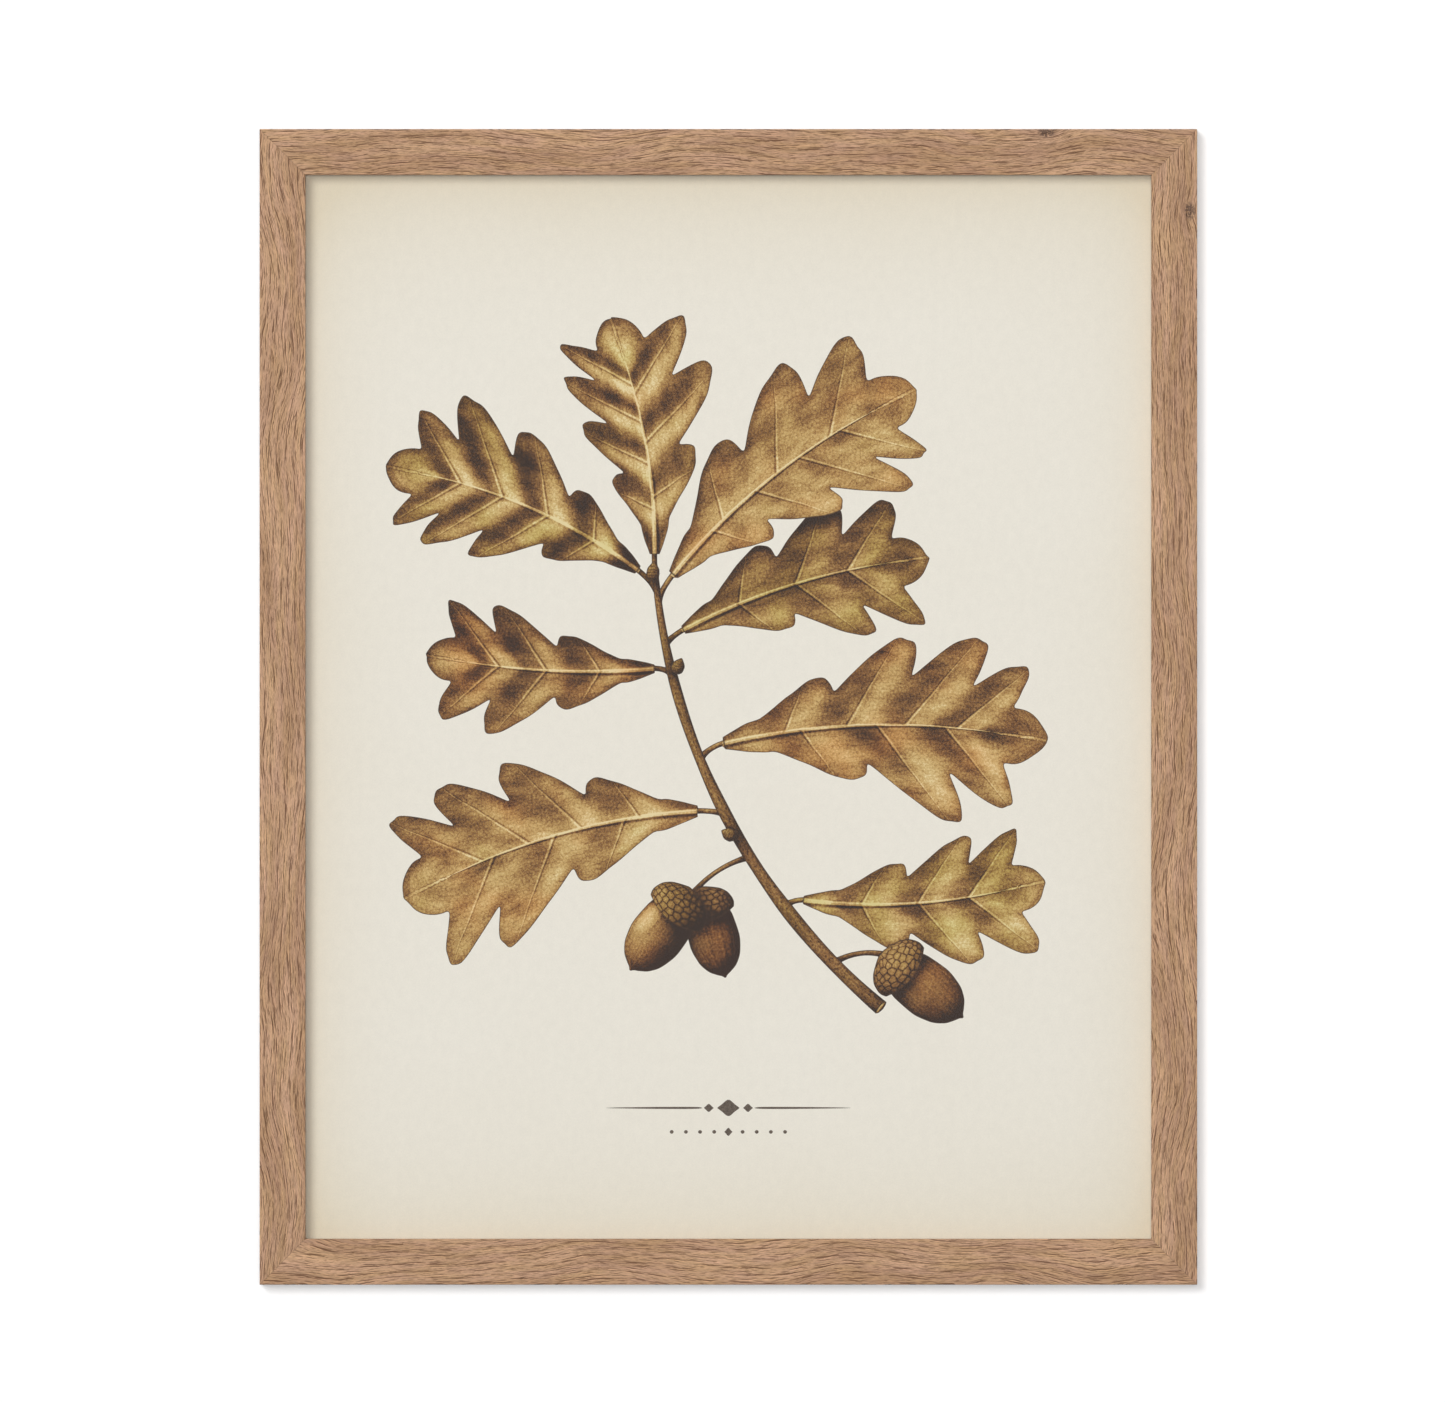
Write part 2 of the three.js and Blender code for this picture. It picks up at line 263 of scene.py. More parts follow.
def side_frame(turns, corner):
    """From a side's own frame in millimetres, with the rail along +Z, to metres."""
    move = Matrix.Translation((corner[0], 0, corner[1]))
    return move @ Matrix.Rotation(turns * QUARTER, 4, "Y") @ Matrix.Scale(MM, 4)


def in_scene(name, data):
    """An object for a mesh, a lamp or a camera, put in the scene."""
    made = bpy.data.objects.new(name, data)
    bpy.context.scene.collection.objects.link(made)
    return made


def smooth_piece(name, mesh, material):
    """An object for a mesh, shaded smooth across all but its sharp edges."""
    for polygon in mesh.polygons:
        polygon.use_smooth = True
    mesh.set_sharp_from_angle(angle=math.radians(SHARP_DEGREES))
    mesh.materials.append(material)
    return in_scene(name, mesh)


def hide_from(thing, *rays):
    """Hides a thing from some kinds of ray."""
    for ray in rays:
        setattr(thing, f"visible_{ray}", False)


def mesh_of(name, vertices, faces):
    mesh = bpy.data.meshes.new(name)
    mesh.from_pydata(vertices, [], faces)
    return mesh


def set_vectors(mesh, name, values, domain="POINT"):
    attribute = mesh.attributes.new(name, "FLOAT_VECTOR", domain)
    attribute.data.foreach_set("vector", np.asarray(values, np.float32).ravel())


# ---------------------------------------------------------------- oak rails

ARRIS_MM = 0.4  # radius of a rail's long edges
ARRIS_STEPS = 4
ARRIS_WEAR = 0.35  # how much that radius varies along the rail
WEAR_PITCH_MM = 23.0
STATION_STEP_MM = 2.6
SECTION_STEP_MM = 1.8
V_LEG_MM = 5.0  # a corner fastener's leg
V_T_MM = 0.6
V_DEPTH_MM = 10.0
V_FROM_CORNER_MM = 9.0
V_SUNK_MM = 0.2
SLOT_ROOM_MM = 0.05  # how much wider than the fastener its slot is, on each side
RING_MM = 3.4  # width of a growth ring
# Small dark knots at a rail's outer edge: side, along and across in millimetres
KNOTS = {"top": (361.0, 1.4), "right": (37.5, 3.4)}
KNOT_REACH_MM = (9.0, 5.0)  # along and across, how far the grain bends round a knot
KNOT_BEND_MM = 3.6
KNOT_DEEP_MM = 7.0
GRAIN_SWAY_MM = (9, 1.5)  # how far the grain sways, slowly and quickly
GRAIN_LEAN = 0.7  # how far the rings lean across for each millimetre of depth


def rounded(corners, steps):
    """An outline from (x, y, radius) corners, with an arc at each corner that has a radius."""
    points = []
    for i, (x, y, radius) in enumerate(corners):
        here = Vector((x, y))
        if not radius:
            points.append(here)
            continue
        before = (Vector(corners[i - 1][:2]) - here).normalized()
        after = (Vector(corners[(i + 1) % len(corners)][:2]) - here).normalized()
        half = before.angle(after) / 2
        centre = here + (before + after).normalized() * (radius / math.sin(half))
        start = here + before * (radius / math.tan(half)) - centre
        end = here + after * (radius / math.tan(half)) - centre
        turn = start.angle_signed(end)
        for step in range(steps + 1):
            arm = start.copy()
            arm.rotate(Matrix.Rotation(-turn * step / steps, 2))
            points.append(centre + arm)
    return points


def rail_section(wear):
    """A rail's section, across and in depth, its long edges rounded by a radius times each wear."""
    groove_front = BOARD_BACK_MM + GROOVE_LOW_MM
    groove_back = BOARD_BACK_MM + GROOVE_HIGH_MM
    groove_floor = WALL_MM - GROOVE_DEPTH_MM
    arris = [ARRIS_MM * factor for factor in wear]
    corners = [
        (0, FRONT_MM, arris[0]),
        (FACE_MM, FRONT_MM, arris[1] * 0.6),
        (FACE_MM, LIP_BACK_MM, arris[2] / 2),
        (WALL_MM, LIP_BACK_MM, 0),
        (WALL_MM, groove_front, 0),
        (groove_floor, groove_front, 0),
        (groove_floor, groove_back, 0),
        (WALL_MM, groove_back, 0),
        (WALL_MM, BACK_MM, arris[3] / 2),
        (0, BACK_MM, arris[2]),
    ]
    return rounded(corners, ARRIS_STEPS)


def split(outline, counts):
    """A closed outline with each of its stretches split into that many equal steps."""
    points = []
    for i, count in enumerate(counts):
        end = outline[(i + 1) % len(outline)]
        points += [outline[i].lerp(end, step / count) for step in range(count)]
    return points


def v_slots(length):
    """The two slots that a rail's corner fasteners stand in, as one cutter in the side's frame."""
    far = V_FROM_CORNER_MM + V_T_MM / 2 + SLOT_ROOM_MM
    near = V_FROM_CORNER_MM - V_T_MM / 2 - SLOT_ROOM_MM
    end = V_FROM_CORNER_MM - V_LEG_MM - SLOT_ROOM_MM
    outline = [(far, far), (end, far), (end, near), (near, near), (near, end), (far, end)]
    deep = BACK_MM - V_DEPTH_MM - V_SUNK_MM - SLOT_ROOM_MM
    count = len(outline)
    vertices, faces = [], []
    for flip in (False, True):
        first = len(vertices)
        for y in (deep, BACK_MM + 1):
            vertices += [(x, y, length - z if flip else z) for x, z in outline]
        faces += [range(first, first + count), range(first + count, first + 2 * count)]
        for i in range(count):
            j = (i + 1) % count
            faces.append((first + i, first + count + i, first + count + j, first + j))
    return face_out(mesh_of("v_slots", vertices, faces))


def face_out(mesh):
    """Turns a closed mesh's faces outwards."""
    bm = bmesh.new()
    bm.from_mesh(mesh)
    bmesh.ops.recalc_face_normals(bm, faces=bm.faces)
    bm.to_mesh(mesh)
    bm.free()
    return mesh


def cut(mesh, cutter):
    """The mesh less the cutter."""
    pair = [in_scene("cut_piece", mesh), in_scene("cut_tool", cutter)]
    boolean = pair[0].modifiers.new("cut", "BOOLEAN")
    boolean.operation = "DIFFERENCE"
    boolean.solver = "EXACT"
    boolean.object = pair[1]
    graph = bpy.context.evaluated_depsgraph_get()
    made = bpy.data.meshes.new_from_object(pair[0].evaluated_get(graph))
    for thing in pair:
        bpy.data.objects.remove(thing)
    return made


def grain_fields(mesh, side, length, seed):
    """Sets where each point of a rail, in its side's frame, lies in the oak.

    grain: across the grain, along it, and the growth ring. tone: a slow change of shade, how
    near a knot is, and the distance to the nearer mitre. knot: the place from the knot, along
    and across, and how much of it is left at this depth. lit: from which side the light falls
    across the grain, the side on which each pore's highlight is painted.
    """
    knot_at = KNOTS.get(side)
    grain, tone, knot = [], [], []
    for vertex in mesh.vertices:
        across, depth, along = vertex.co
        far = along + 1000 * seed
        bend = 0.0
        knot_row = (0.0, 0.0, 0.0)
        if knot_at:
            from_knot = (along - knot_at[0], across - knot_at[1])
            reach_l, reach_a = KNOT_REACH_MM
            bend = math.exp(-((from_knot[0] / reach_l) ** 2) - abs(from_knot[1]) / reach_a)
            knot_row = (*from_knot, max(0.0, 1 - ((depth - FRONT_MM) / KNOT_DEEP_MM) ** 2))
        slow = noise.noise(Vector((across / 50, depth / 50, far / 62)))
        wave = noise.noise(Vector((across / 10, depth / 10, far / 26 + 40)))
        sway = across + GRAIN_SWAY_MM[0] * slow + GRAIN_SWAY_MM[1] * wave
        flow = sway - KNOT_BEND_MM * bend + GRAIN_LEAN * depth
        shade = noise.noise(Vector((flow / 6, 9.3, far / 55)))
        ring = flow / RING_MM + 0.5 * noise.noise(Vector((flow / 8, 21.7, far / 60)))
        grain.append((flow + 60 * seed, far, ring))
        tone.append((shade, bend, min(along, length - along) - across))
        knot.append(knot_row)
    # the side of the painted pore highlights, towards the key light: +1 on the left and top rails, -1 on
    # the others
    lit = [(1.0 if side in ("left", "top") else -1.0, 0.0, 0.0)] * len(mesh.vertices)
    for name, values in {"grain": grain, "tone": tone, "knot": knot, "lit": lit}.items():
        set_vectors(mesh, name, values)


def edge_wear(share, length, seed):
    """How worn each of a rail's four long edges is at a share of its length, about 1."""
    along = share * length / WEAR_PITCH_MM
    return [1 + ARRIS_WEAR * noise.noise(Vector((along, edge * 7.3, seed * 5.1))) for edge in range(4)]


def rail_piece(side, turns, corner, length, seed, wood):
    """One rail, mitred at both ends, its long edges worn and its fasteners' slots cut."""
    nominal = rail_section([1.0] * 4)
    after = nominal[1:] + nominal[:1]
    counts = [max(1, round((b - a).length / SECTION_STEP_MM)) for a, b in zip(nominal, after)]
    stations = round(length / STATION_STEP_MM)
    vertices, faces = [], []
    for station in range(stations + 1):
        share = station / stations
        for across, depth in split(rail_section(edge_wear(share, length, seed)), counts):
            ends = across + MITRE_SETBACK_MM
            vertices.append((across, depth, ends + (length - 2 * ends) * share))
    ring = len(vertices) // (stations + 1)
    for station in range(stations):
        for i in range(ring):
            a, b = station * ring + i, station * ring + (i + 1) % ring
            faces.append((a, b, b + ring, a + ring))
    faces += [range(ring), range(stations * ring, (stations + 1) * ring)]
    mesh = cut(face_out(mesh_of(f"rail_{side}_oak", vertices, faces)), v_slots(length))
    grain_fields(mesh, side, length, seed)
    mesh.transform(side_frame(turns, corner))
    piece = smooth_piece(f"rail_{side}_oak", mesh, wood)
    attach(piece, "frame")
    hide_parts(f"rail_{side}")


def pores(n, across, along, lit, early, width, length, shift):
    """Open pores as dashes along the grain, widest in a ring's early wood, and a painted highlight on each
    one's lit side.
    """
    x, y = across / width + shift, along / length + shift
    _, chance, pore_x, pore_y = n.cell_points(x, y)
    radius = chance * (0.09 + early * 0.12) + 0.03
    aside, ahead = x - pore_x, (y - pore_y) * 0.3
    # the painted highlight is a lighter crescent shifted towards the side the light falls from
    highlight_aside = aside - radius * lit * 1.7
    far = (aside * aside + ahead * ahead).root()
    highlight_far = (highlight_aside * highlight_aside + ahead * ahead).root()
    hollow = (far / radius).ease(1.15, 0.45)
    return hollow, (highlight_far / radius).ease(1.3, 0.4) * (1 - hollow)


def oak(n):
    """Oak: a slow change of shade, growth rings, streaks, fibres, open pores and knots, and a painted
    highlight beside each pore.
    """
    across, along, ring = n.attribute("grain")
    broad, bend, mitre = n.attribute("tone")
    knot_l, knot_a, knot_on = n.attribute("knot")
    lit = n.attribute("lit")[0]
    turn = ring.fract()
    early = turn.ease(0.0, 0.15) * turn.ease(0.75, 0.3)
    streak = n.noise(across / 1.2, along / 30, detail=4.0, roughness=0.75)
    fibre = n.noise(across / 0.45, along / 9, roughness=0.7)
    fleck = n.noise(across / 0.5, along / 2.6, detail=1.0)
    waver = n.noise(across / 6, along / 12) * 1.2
    long_hollow, long_painted_highlight = pores(n, across + waver, along, lit, early, 1.35, 11.0, 0.0)
    short_hollow, short_painted_highlight = pores(n, across - waver, along, lit, early, 1.05, 6.0, 31.7)
    tick_hollow, tick_painted_highlight = pores(n, across, along, lit, early, 0.9, 3.0, 57.3)
    hollow = long_hollow.most(short_hollow * 0.8).most(tick_hollow * 0.5)
    # lip is the painted highlight beside each pore, on the side the light falls from
    lip = long_painted_highlight.most(short_painted_highlight * 0.8).most(tick_painted_highlight * 0.5)
    spots = n.noise(knot_l / 1.3, knot_a / 0.8)
    near = (knot_l / 4.2) * (knot_l / 4.2) + (knot_a / 2.8) * (knot_a / 2.8)
    knots = near.ease(1.3, 0.2) * (spots + 0.10).ease(0.0, 0.10) * knot_on

    shade = n.mix(broad.ease(-0.6, 0.6), rgb(183, 143, 109), rgb(206, 165, 129))
    shade = n.mix(streak.ease(0.0, 0.3) * 0.5, shade, rgb(212, 168, 131))
    tinge = n.noise(across / 4, along / 24, detail=3.0).ease(-0.3, 0.3)
    shade = n.times(shade, n.mix(tinge, (1.0, 1.0, 0.92, 1), (1.0, 0.98, 1.07, 1)))
    # lip * 0.28 lightens the wood where the pores' highlights are painted
    light = 1.0 + streak * 0.42 + fibre * 0.85 + fleck * 0.4 + lip * 0.28
    light = light - early * 0.05 - bend * 0.12 - abs(mitre).ease(0.25, 0.06) * 0.22
    shade = n.scaled(shade, light)
    shade = n.mix(hollow * 0.86, shade, rgb(104, 71, 50))
    shade = n.mix(knots * 0.85, shade, rgb(84, 62, 52))

    height = fibre * 0.3 + streak * 0.2 - hollow * 1.1 - knots * 0.8
    n.surface(
        Base_Color=shade,
        Roughness=(0.62 + fibre * 0.2 + hollow * 0.2).clamp(),
        Specular_IOR_Level=0.35,
        Normal=n.bump(height, 0.14),
    )


# ---------------------------------------------------------------- the print's drawing

# An oak twig with leaves and acorns, in millimetres from the sheet's centre, x to the right
# and y up. Light falls from the upper left.
SUN_2D = np.array([-0.6, 0.8])
SUN_3D = np.array([-0.44, 0.56, 0.70])
PATH_STEPS = 80
OUTLINE_STEP = 0.8
RINGS = (0.6, 1.5, 3.0)  # how far inside an outline extra points keep its edge fields true
FILL_STEP = 1.7
PAPER_STEP = 24.0
SEAM_MM = 0.05  # how far outside its patches a point still belongs to a motif
UNDER_REACH = 3.2  # how far the shade of what lies on top spreads
UNDER_DARK = 0.62  # how dark it is beside the thing that casts it
UNDER_LEE = 0.38  # and how much less or more on the side towards or away from the light
LEAF_COLUMNS = 9  # grid points from a leaf's midrib to its edge
ROUND_COLUMNS = 25  # grid points across a round thing
BLUNT_MM = 0.4  # the half width from which a round thing's foot is drawn flat


def path(start, heading, length, bend=0.0):
    """Points and unit tangents of a curve that turns by bend degrees from end to end."""
    turned = np.radians(heading + bend * (np.linspace(0, 1, PATH_STEPS + 1) - 0.5))
    tangent = np.stack([np.cos(turned), np.sin(turned)], 1)
    middles = (tangent[1:] + tangent[:-1]) / 2
    points = np.vstack([[0, 0], np.cumsum(middles, 0) * length / PATH_STEPS]) + np.array(start, float)
    return points, tangent


def along_path(points, tangent, share):
    """The place and unit tangent at shares of the way along a path."""
    t = np.linspace(0, 1, len(points))
    place = np.stack([np.interp(share, t, points[:, k]) for k in range(2)], 1)
    heading = np.stack([np.interp(share, t, tangent[:, k]) for k in range(2)], 1)
    return place, heading / np.linalg.norm(heading, axis=1, keepdims=True)


def smooth_curve(at, shares, values):
    """A smooth curve through points, level at each peak, by a monotone cubic."""
    step = np.diff(shares)
    rise = np.diff(values) / step
    slope = np.zeros(len(values))
    for i in range(1, len(values) - 1):
        if rise[i - 1] * rise[i] > 0:
            slope[i] = 2 * rise[i - 1] * rise[i] / (rise[i - 1] + rise[i])
    slope[0], slope[-1] = 1.5 * rise[0] - 0.5 * slope[1], 1.5 * rise[-1] - 0.5 * slope[-2]
    i = np.clip(np.searchsorted(shares, at) - 1, 0, len(step) - 1)
    t = (at - shares[i]) / step[i]
    a, b = values[i], values[i + 1]
    m, k = slope[i] * step[i], slope[i + 1] * step[i]
    first_half = a * (1 + 2 * t) * (1 - t) ** 2 + m * t * (1 - t) ** 2
    return first_half + b * t * t * (3 - 2 * t) + k * t * t * (t - 1)


def leftwards(tangent):
    return np.stack([-tangent[:, 1], tangent[:, 0]], 1)


class Patch:
    """A grid of drawing points that carry nine fields: a motif's place, form and light."""

    def __init__(self, points, place, form, light):
        shape = points.shape[:2]
        index = np.arange(shape[0] * shape[1]).reshape(shape)
        a, b = index[:-1, :-1].ravel(), index[1:, :-1].ravel()
        c, d = index[1:, 1:].ravel(), index[:-1, 1:].ravel()
        self.points = points.reshape(-1, 2)
        self.triangles = np.concatenate([np.stack([a, b, c], 1), np.stack([a, c, d], 1)])
        self.fields = np.stack([np.broadcast_to(f, shape).ravel() for f in (*place, *form, *light)], 1)
        flat = [(x, y, 0.0) for x, y in self.points]
        self.tree = BVHTree.FromPolygons(flat, self.triangles.tolist())

    def off(self, x, y):
        """How far a point lies outside the patch."""
        return self.tree.find_nearest((x, y, 0.0))[3]

    def at(self, x, y):
        """The nine field values at the patch's point nearest to a point."""
        near, _, index, _ = self.tree.find_nearest((x, y, 0.0))
        i, j, k = self.triangles[index]
        (px, py), (qx, qy), (rx, ry) = self.points[[i, j, k]].tolist()
        area = (qx - px) * (ry - py) - (qy - py) * (rx - px)
        if abs(area) < 1e-9:
            return self.fields[i]
        second = ((near.x - px) * (ry - py) - (near.y - py) * (rx - px)) / area
        third = ((qx - px) * (near.y - py) - (qy - py) * (near.x - px)) / area
        return (1 - second - third) * self.fields[i] + second * self.fields[j] + third * self.fields[k]


class Motif:
    """One drawn thing: its kind, its outline, its spine, its patches and its own tint."""

    def __init__(self, kind, outline, spine, patches, tint):
        self.kind = kind
        self.outline = outline
        self.spine = spine
        self.patches = patches
        self.tint = tint
        self.near_outline = kdtree.KDTree(len(outline))
        for i, (x, y) in enumerate(outline):
            self.near_outline.insert((x, y, 0.0), i)
        self.near_outline.balance()
        self.corners = outline.tolist()
        self.low = outline.min(0).tolist()
        self.high = outline.max(0).tolist()

    def near(self, x, y, room):
        """Whether a point is within the room round the motif's box."""
        (west, south), (east, north) = self.low, self.high
        return west - room <= x <= east + room and south - room <= y <= north + room

    def holds(self, x, y):
        """The patch that holds a point, or None."""
        if not self.near(x, y, 0):
            return None
        return next((p for p in self.patches if p.off(x, y) < SEAM_MM), None)

    def from_edge(self, x, y):
        """How far a point is from the outline, and the outline's nearest point."""
        i = self.near_outline.find((x, y, 0.0))[1]
        found = []
        for start, end in ((i - 1, i), (i, (i + 1) % len(self.corners))):
            (ax, ay), (bx, by) = self.corners[start], self.corners[end]
            run, rise = bx - ax, by - ay
            share = ((x - ax) * run + (y - ay) * rise) / max(run * run + rise * rise, 1e-12)
            share = min(1.0, max(0.0, share))
            near_x, near_y = ax + share * run, ay + share * rise
            found.append((math.hypot(x - near_x, y - near_y), near_x, near_y))
        return min(found)


def even_shares(boundary_of, step):
    """Shares from 0 to 1 whose places along a boundary are about a step apart."""
    fine = np.linspace(0, 1, 3001)
    points = boundary_of(fine)
    run = np.concatenate([[0], np.cumsum(np.linalg.norm(np.diff(points, axis=0), axis=1))])
    count = max(8, int(run[-1] / step))
    return np.interp(np.linspace(0, run[-1], count + 1), run, fine)


# How long a leaf's side veins are along its midrib, as shares of its length
LEAF_SHAPE = np.array(
    [
        (0, 0.02), (0.1, 0.07), (0.25, 0.19), (0.4, 0.30), (0.55, 0.38),
        (0.68, 0.385), (0.8, 0.32), (0.91, 0.21), (1, 0.16),
    ]
)
SINUS_DEPTH = 0.66  # how deep the bays between lobes reach
TIP_BAY = 0.6  # how much shallower the bays beside the end lobe are
MIDRIB_REACH = 0.90  # the share of its length at which the midrib's last veins start
VEIN_DEGREES = (68, 28)  # a side vein's angle at the leaf's foot, and how much less it is at the tip
LOBE_POWER = 0.30  # the smaller it is, the squarer the lobes


def half_leaf(spine, tangent, length, side, lobes, breadth, rng):
    """One side of an oak leaf: a function from shares to its foot, its vein's direction and reach."""
    lengths = rng.uniform(0.90, 1.12, lobes + 1)
    lengths[-1] = 1.0
    ripple = rng.uniform(0, 6.28, 3)

    def line(u):
        foot, ahead = along_path(spine, tangent, MIDRIB_REACH * (1 - (1 - u) ** 1.2))
        tip = np.clip((u - 1) * lobes / 0.55 + 1, 0, 1)
        wide, less = VEIN_DEGREES
        angle = np.radians((wide - less * u) * (1 - tip * tip * (3 - 2 * tip)))
        away = ahead * np.cos(angle)[:, None] + side * leftwards(ahead) * np.sin(angle)[:, None]
        phase = lobes * u
        lobe = (np.cos(np.pi * phase) ** 2 + 0.015) ** LOBE_POWER
        bay = SINUS_DEPTH * np.clip(u / 0.22, 0, 1) * np.interp(u, (0.75, 1), (1, TIP_BAY))
        wavy = 1 + 0.012 * np.sin(phase * 15 + ripple[0]) + 0.008 * np.sin(phase * 26 + ripple[1])
        reach = smooth_curve(u, *LEAF_SHAPE.T) * length * breadth
        reach = reach * (1 - bay * (1 - lobe)) * smooth_curve(phase, np.arange(lobes + 1), lengths) * wavy
        return foot, ahead, away, phase, reach

    return line


def leaf(start, heading, length, bend, lobes, seed, breadth, tint):
    """An oak leaf, its two sides with their own counts of lobes."""
    rng = np.random.default_rng(seed)
    spine, tangent = path(start, heading, length, bend)
    edges, patches = [], []
    for side, count in zip((1, -1), lobes):
        line = half_leaf(spine, tangent, length, side, count, breadth, rng)

        def boundary(u, line=line):
            foot, _, away, _, reach = line(u)
            return foot + away * reach[:, None]

        u = even_shares(boundary, OUTLINE_STEP)
        foot, ahead, away, phase, reach = line(u)
        s = np.linspace(0, 1, LEAF_COLUMNS)[None, :]
        points = foot[:, None] + away[:, None] * (reach[:, None] * s)[..., None]
        across = ahead - away * np.sum(ahead * away, 1, keepdims=True)
        across = across / np.maximum(np.linalg.norm(across, axis=1, keepdims=True), 0.2)
        step = np.gradient(points, axis=0) / np.maximum(np.gradient(phase), 1e-6)[:, None, None]
        pitch = np.abs(np.sum(step * across[:, None], 2))
        place = (phase[:, None], s, 0.0)
        form = (np.clip(pitch, 0.5, 60), reach[:, None] * s, u[:, None])
        light = ((ahead @ SUN_2D)[:, None], (away @ SUN_2D)[:, None], 0.0)
        patches.append(Patch(points, place, form, light))
        edges.append(points[:, -1])
    outline = np.concatenate([edges[0], edges[1][::-1][1:]])
    midrib = along_path(spine, tangent, np.linspace(0, MIDRIB_REACH, int(length / 1.5)))[0]
    return Motif("leaf", outline, midrib, patches, (*tint, seed))


def turned_shape(kind, start, heading, length, profile, bend=0.0, crown=0.0, seed=0, tint=(0, 0)):
    """A round thing seen from the side, such as a nut, a cup or a twig.

    Its profile is a list of (share, half width), and crown bulges its far end in the middle.
    """
    spine, tangent = path(start, heading, length, bend)
    shares, halves = np.array(profile).T

    def edge(u):
        middle, ahead = along_path(spine, tangent, u)
        return middle + leftwards(ahead) * smooth_curve(u, shares, halves)[:, None]

    u = even_shares(edge, OUTLINE_STEP)
    middle, ahead = along_path(spine, tangent, u)
    half = smooth_curve(u, shares, halves)
    s = np.linspace(-1, 1, ROUND_COLUMNS)[None, :]
    bulge = crown * (1 - s**2) * u[:, None]
    points = middle[:, None] + leftwards(ahead)[:, None] * (half[:, None] * s)[..., None]
    points = points + ahead[:, None] * bulge[..., None]
    slope = np.gradient(half, u * length)[:, None]
    facing = np.sqrt(np.maximum(0, 1 - s**2))
    lit = -slope * (ahead @ SUN_3D[:2])[:, None]
    lit = lit + s * (leftwards(ahead) @ SUN_3D[:2])[:, None] + facing * SUN_3D[2]
    place = (np.arcsin(s) / QUARTER, u[:, None], 0.0)
    form = (half[:, None], u[:, None] * length, s)
    light = (lit / np.sqrt(1 + slope**2), facing, 0.0)
    outline = np.concatenate([points[:, -1], points[-1, ::-1][1:-1], points[::-1, 0]])
    if half[0] > BLUNT_MM:
        outline = np.concatenate([outline, points[0, 1:-1]])
    return Motif(kind, outline, middle[::2], [Patch(points, place, form, light)], (*tint, seed))


NUT = [(0, 8.6), (0.2, 10.2), (0.45, 10.6), (0.7, 9.0), (0.86, 6.0), (0.94, 2.7), (0.97, 1.1), (1, 0.3)]
CUP = [(0, 1.8), (0.08, 4.5), (0.25, 8.6), (0.5, 11.2), (0.8, 12.2), (1, 11.6)]
CUT_END = [(0, 0.2), (0.2, 2.6), (0.5, 3.6), (0.8, 2.6), (1, 0.2)]
BUD = [(0, 1.6), (0.25, 3.0), (0.55, 2.9), (0.85, 1.4), (1, 0.2)]
NUT_LENGTH = 30
CUP_LENGTH = 11.5
CUP_CROWN = 3.4
NUT_FROM = 0.8  # the share of the cup's length at which its nut starts


def acorn(start, heading, size, seed, tint=(0, 0)):
    """A nut in its cup, the cup's foot at start."""
    ahead = np.array([math.cos(math.radians(heading)), math.sin(math.radians(heading))])
    nut, cup = ([(share, half * size) for share, half in profile] for profile in (NUT, CUP))
    long, crown = CUP_LENGTH * size, CUP_CROWN * size
    rim = np.array(start) + ahead * long * NUT_FROM
    return [
        turned_shape("nut", rim, heading, NUT_LENGTH * size, nut, seed=seed, tint=tint),
        turned_shape("cup", start, heading, long, cup, crown=crown, seed=seed + 50, tint=tint),
    ]


def stalk(start, heading, length, widths, bend, seed, tint=(0, 0)):
    """A twig, petiole or fruit stalk, whose half widths are even steps apart."""
    profile = [(i / (len(widths) - 1), half) for i, half in enumerate(widths)]
    return turned_shape("bark", start, heading, length, profile, bend=bend, seed=seed, tint=tint)


PETIOLE_WIDTHS = (2.1, 1.45, 1.25, 1.25, 1.35)
PETIOLE_PALER = 0.16  # how much paler a petiole is than its leaf
PETIOLE_UNDER = 1.6  # how far a petiole runs on under its leaf
TWIG = ((70, -138), 117.5, 230, -45)  # its path: start, middle heading, length, bend
TWIG_WIDTHS = (3.6, 3.1, 3.3, 2.7, 2.9, 2.3, 2.5, 1.9, 1.5)


def on_twig(share):
    """A place on the twig."""
    return along_path(*path(*TWIG), [share])[0][0]


# The leaves, the lowest first: where on the twig, the direction in which the petiole leaves it,
# the leaf's own heading, length, bend, lobes on each side, seed, tint, petiole and breadth
LEAVES = [
    (0.86, 46, 17, 112, -22, (4, 4), 18, (-0.35, -0.07), 12, 1.0),
    (0.62, 52, 1, 142, -24, (5, 4), 13, (0.2, -0.01), 14, 1.0),
    (0.28, 38, 4, 106, 22, (4, 4), 16, (-0.35, 0.04), 11, 1.0),
    (0.50, 168, 196, 134, 26, (4, 5), 14, (0.1, 0.05), 14, 1.02),
    (0.80, 150, 177, 100, -16, (4, 4), 17, (0.25, -0.07), 10, 1.0),
    (0.97, 128, 157, 120, 28, (5, 5), 11, (-0.3, -0.03), 14, 1.0),
    (0.95, 66, 38, 134, -26, (4, 5), 12, (0.1, 0.05), 14, 1.02),
    (1.0, 96, 100, 104, 22, (5, 4), 15, (-0.1, 0.02), 10, 1.08),
]


def leaf_on(share, leaving, heading, length, bend, lobes, seed, tint, petiole, breadth):
    """A leaf on the twig, under it its petiole, which turns into the leaf's direction."""
    turn = heading - bend / 2 - leaving
    pale = (tint[0], tint[1] + PETIOLE_PALER)
    foot = stalk(on_twig(share), leaving + turn / 2, petiole, PETIOLE_WIDTHS, turn, seed + 30, pale)
    base = along_path(foot.spine, foot.spine, [1 - PETIOLE_UNDER / petiole])[0][0]
    return [foot, leaf(base, heading, length, bend, lobes, seed, breadth, tint)]


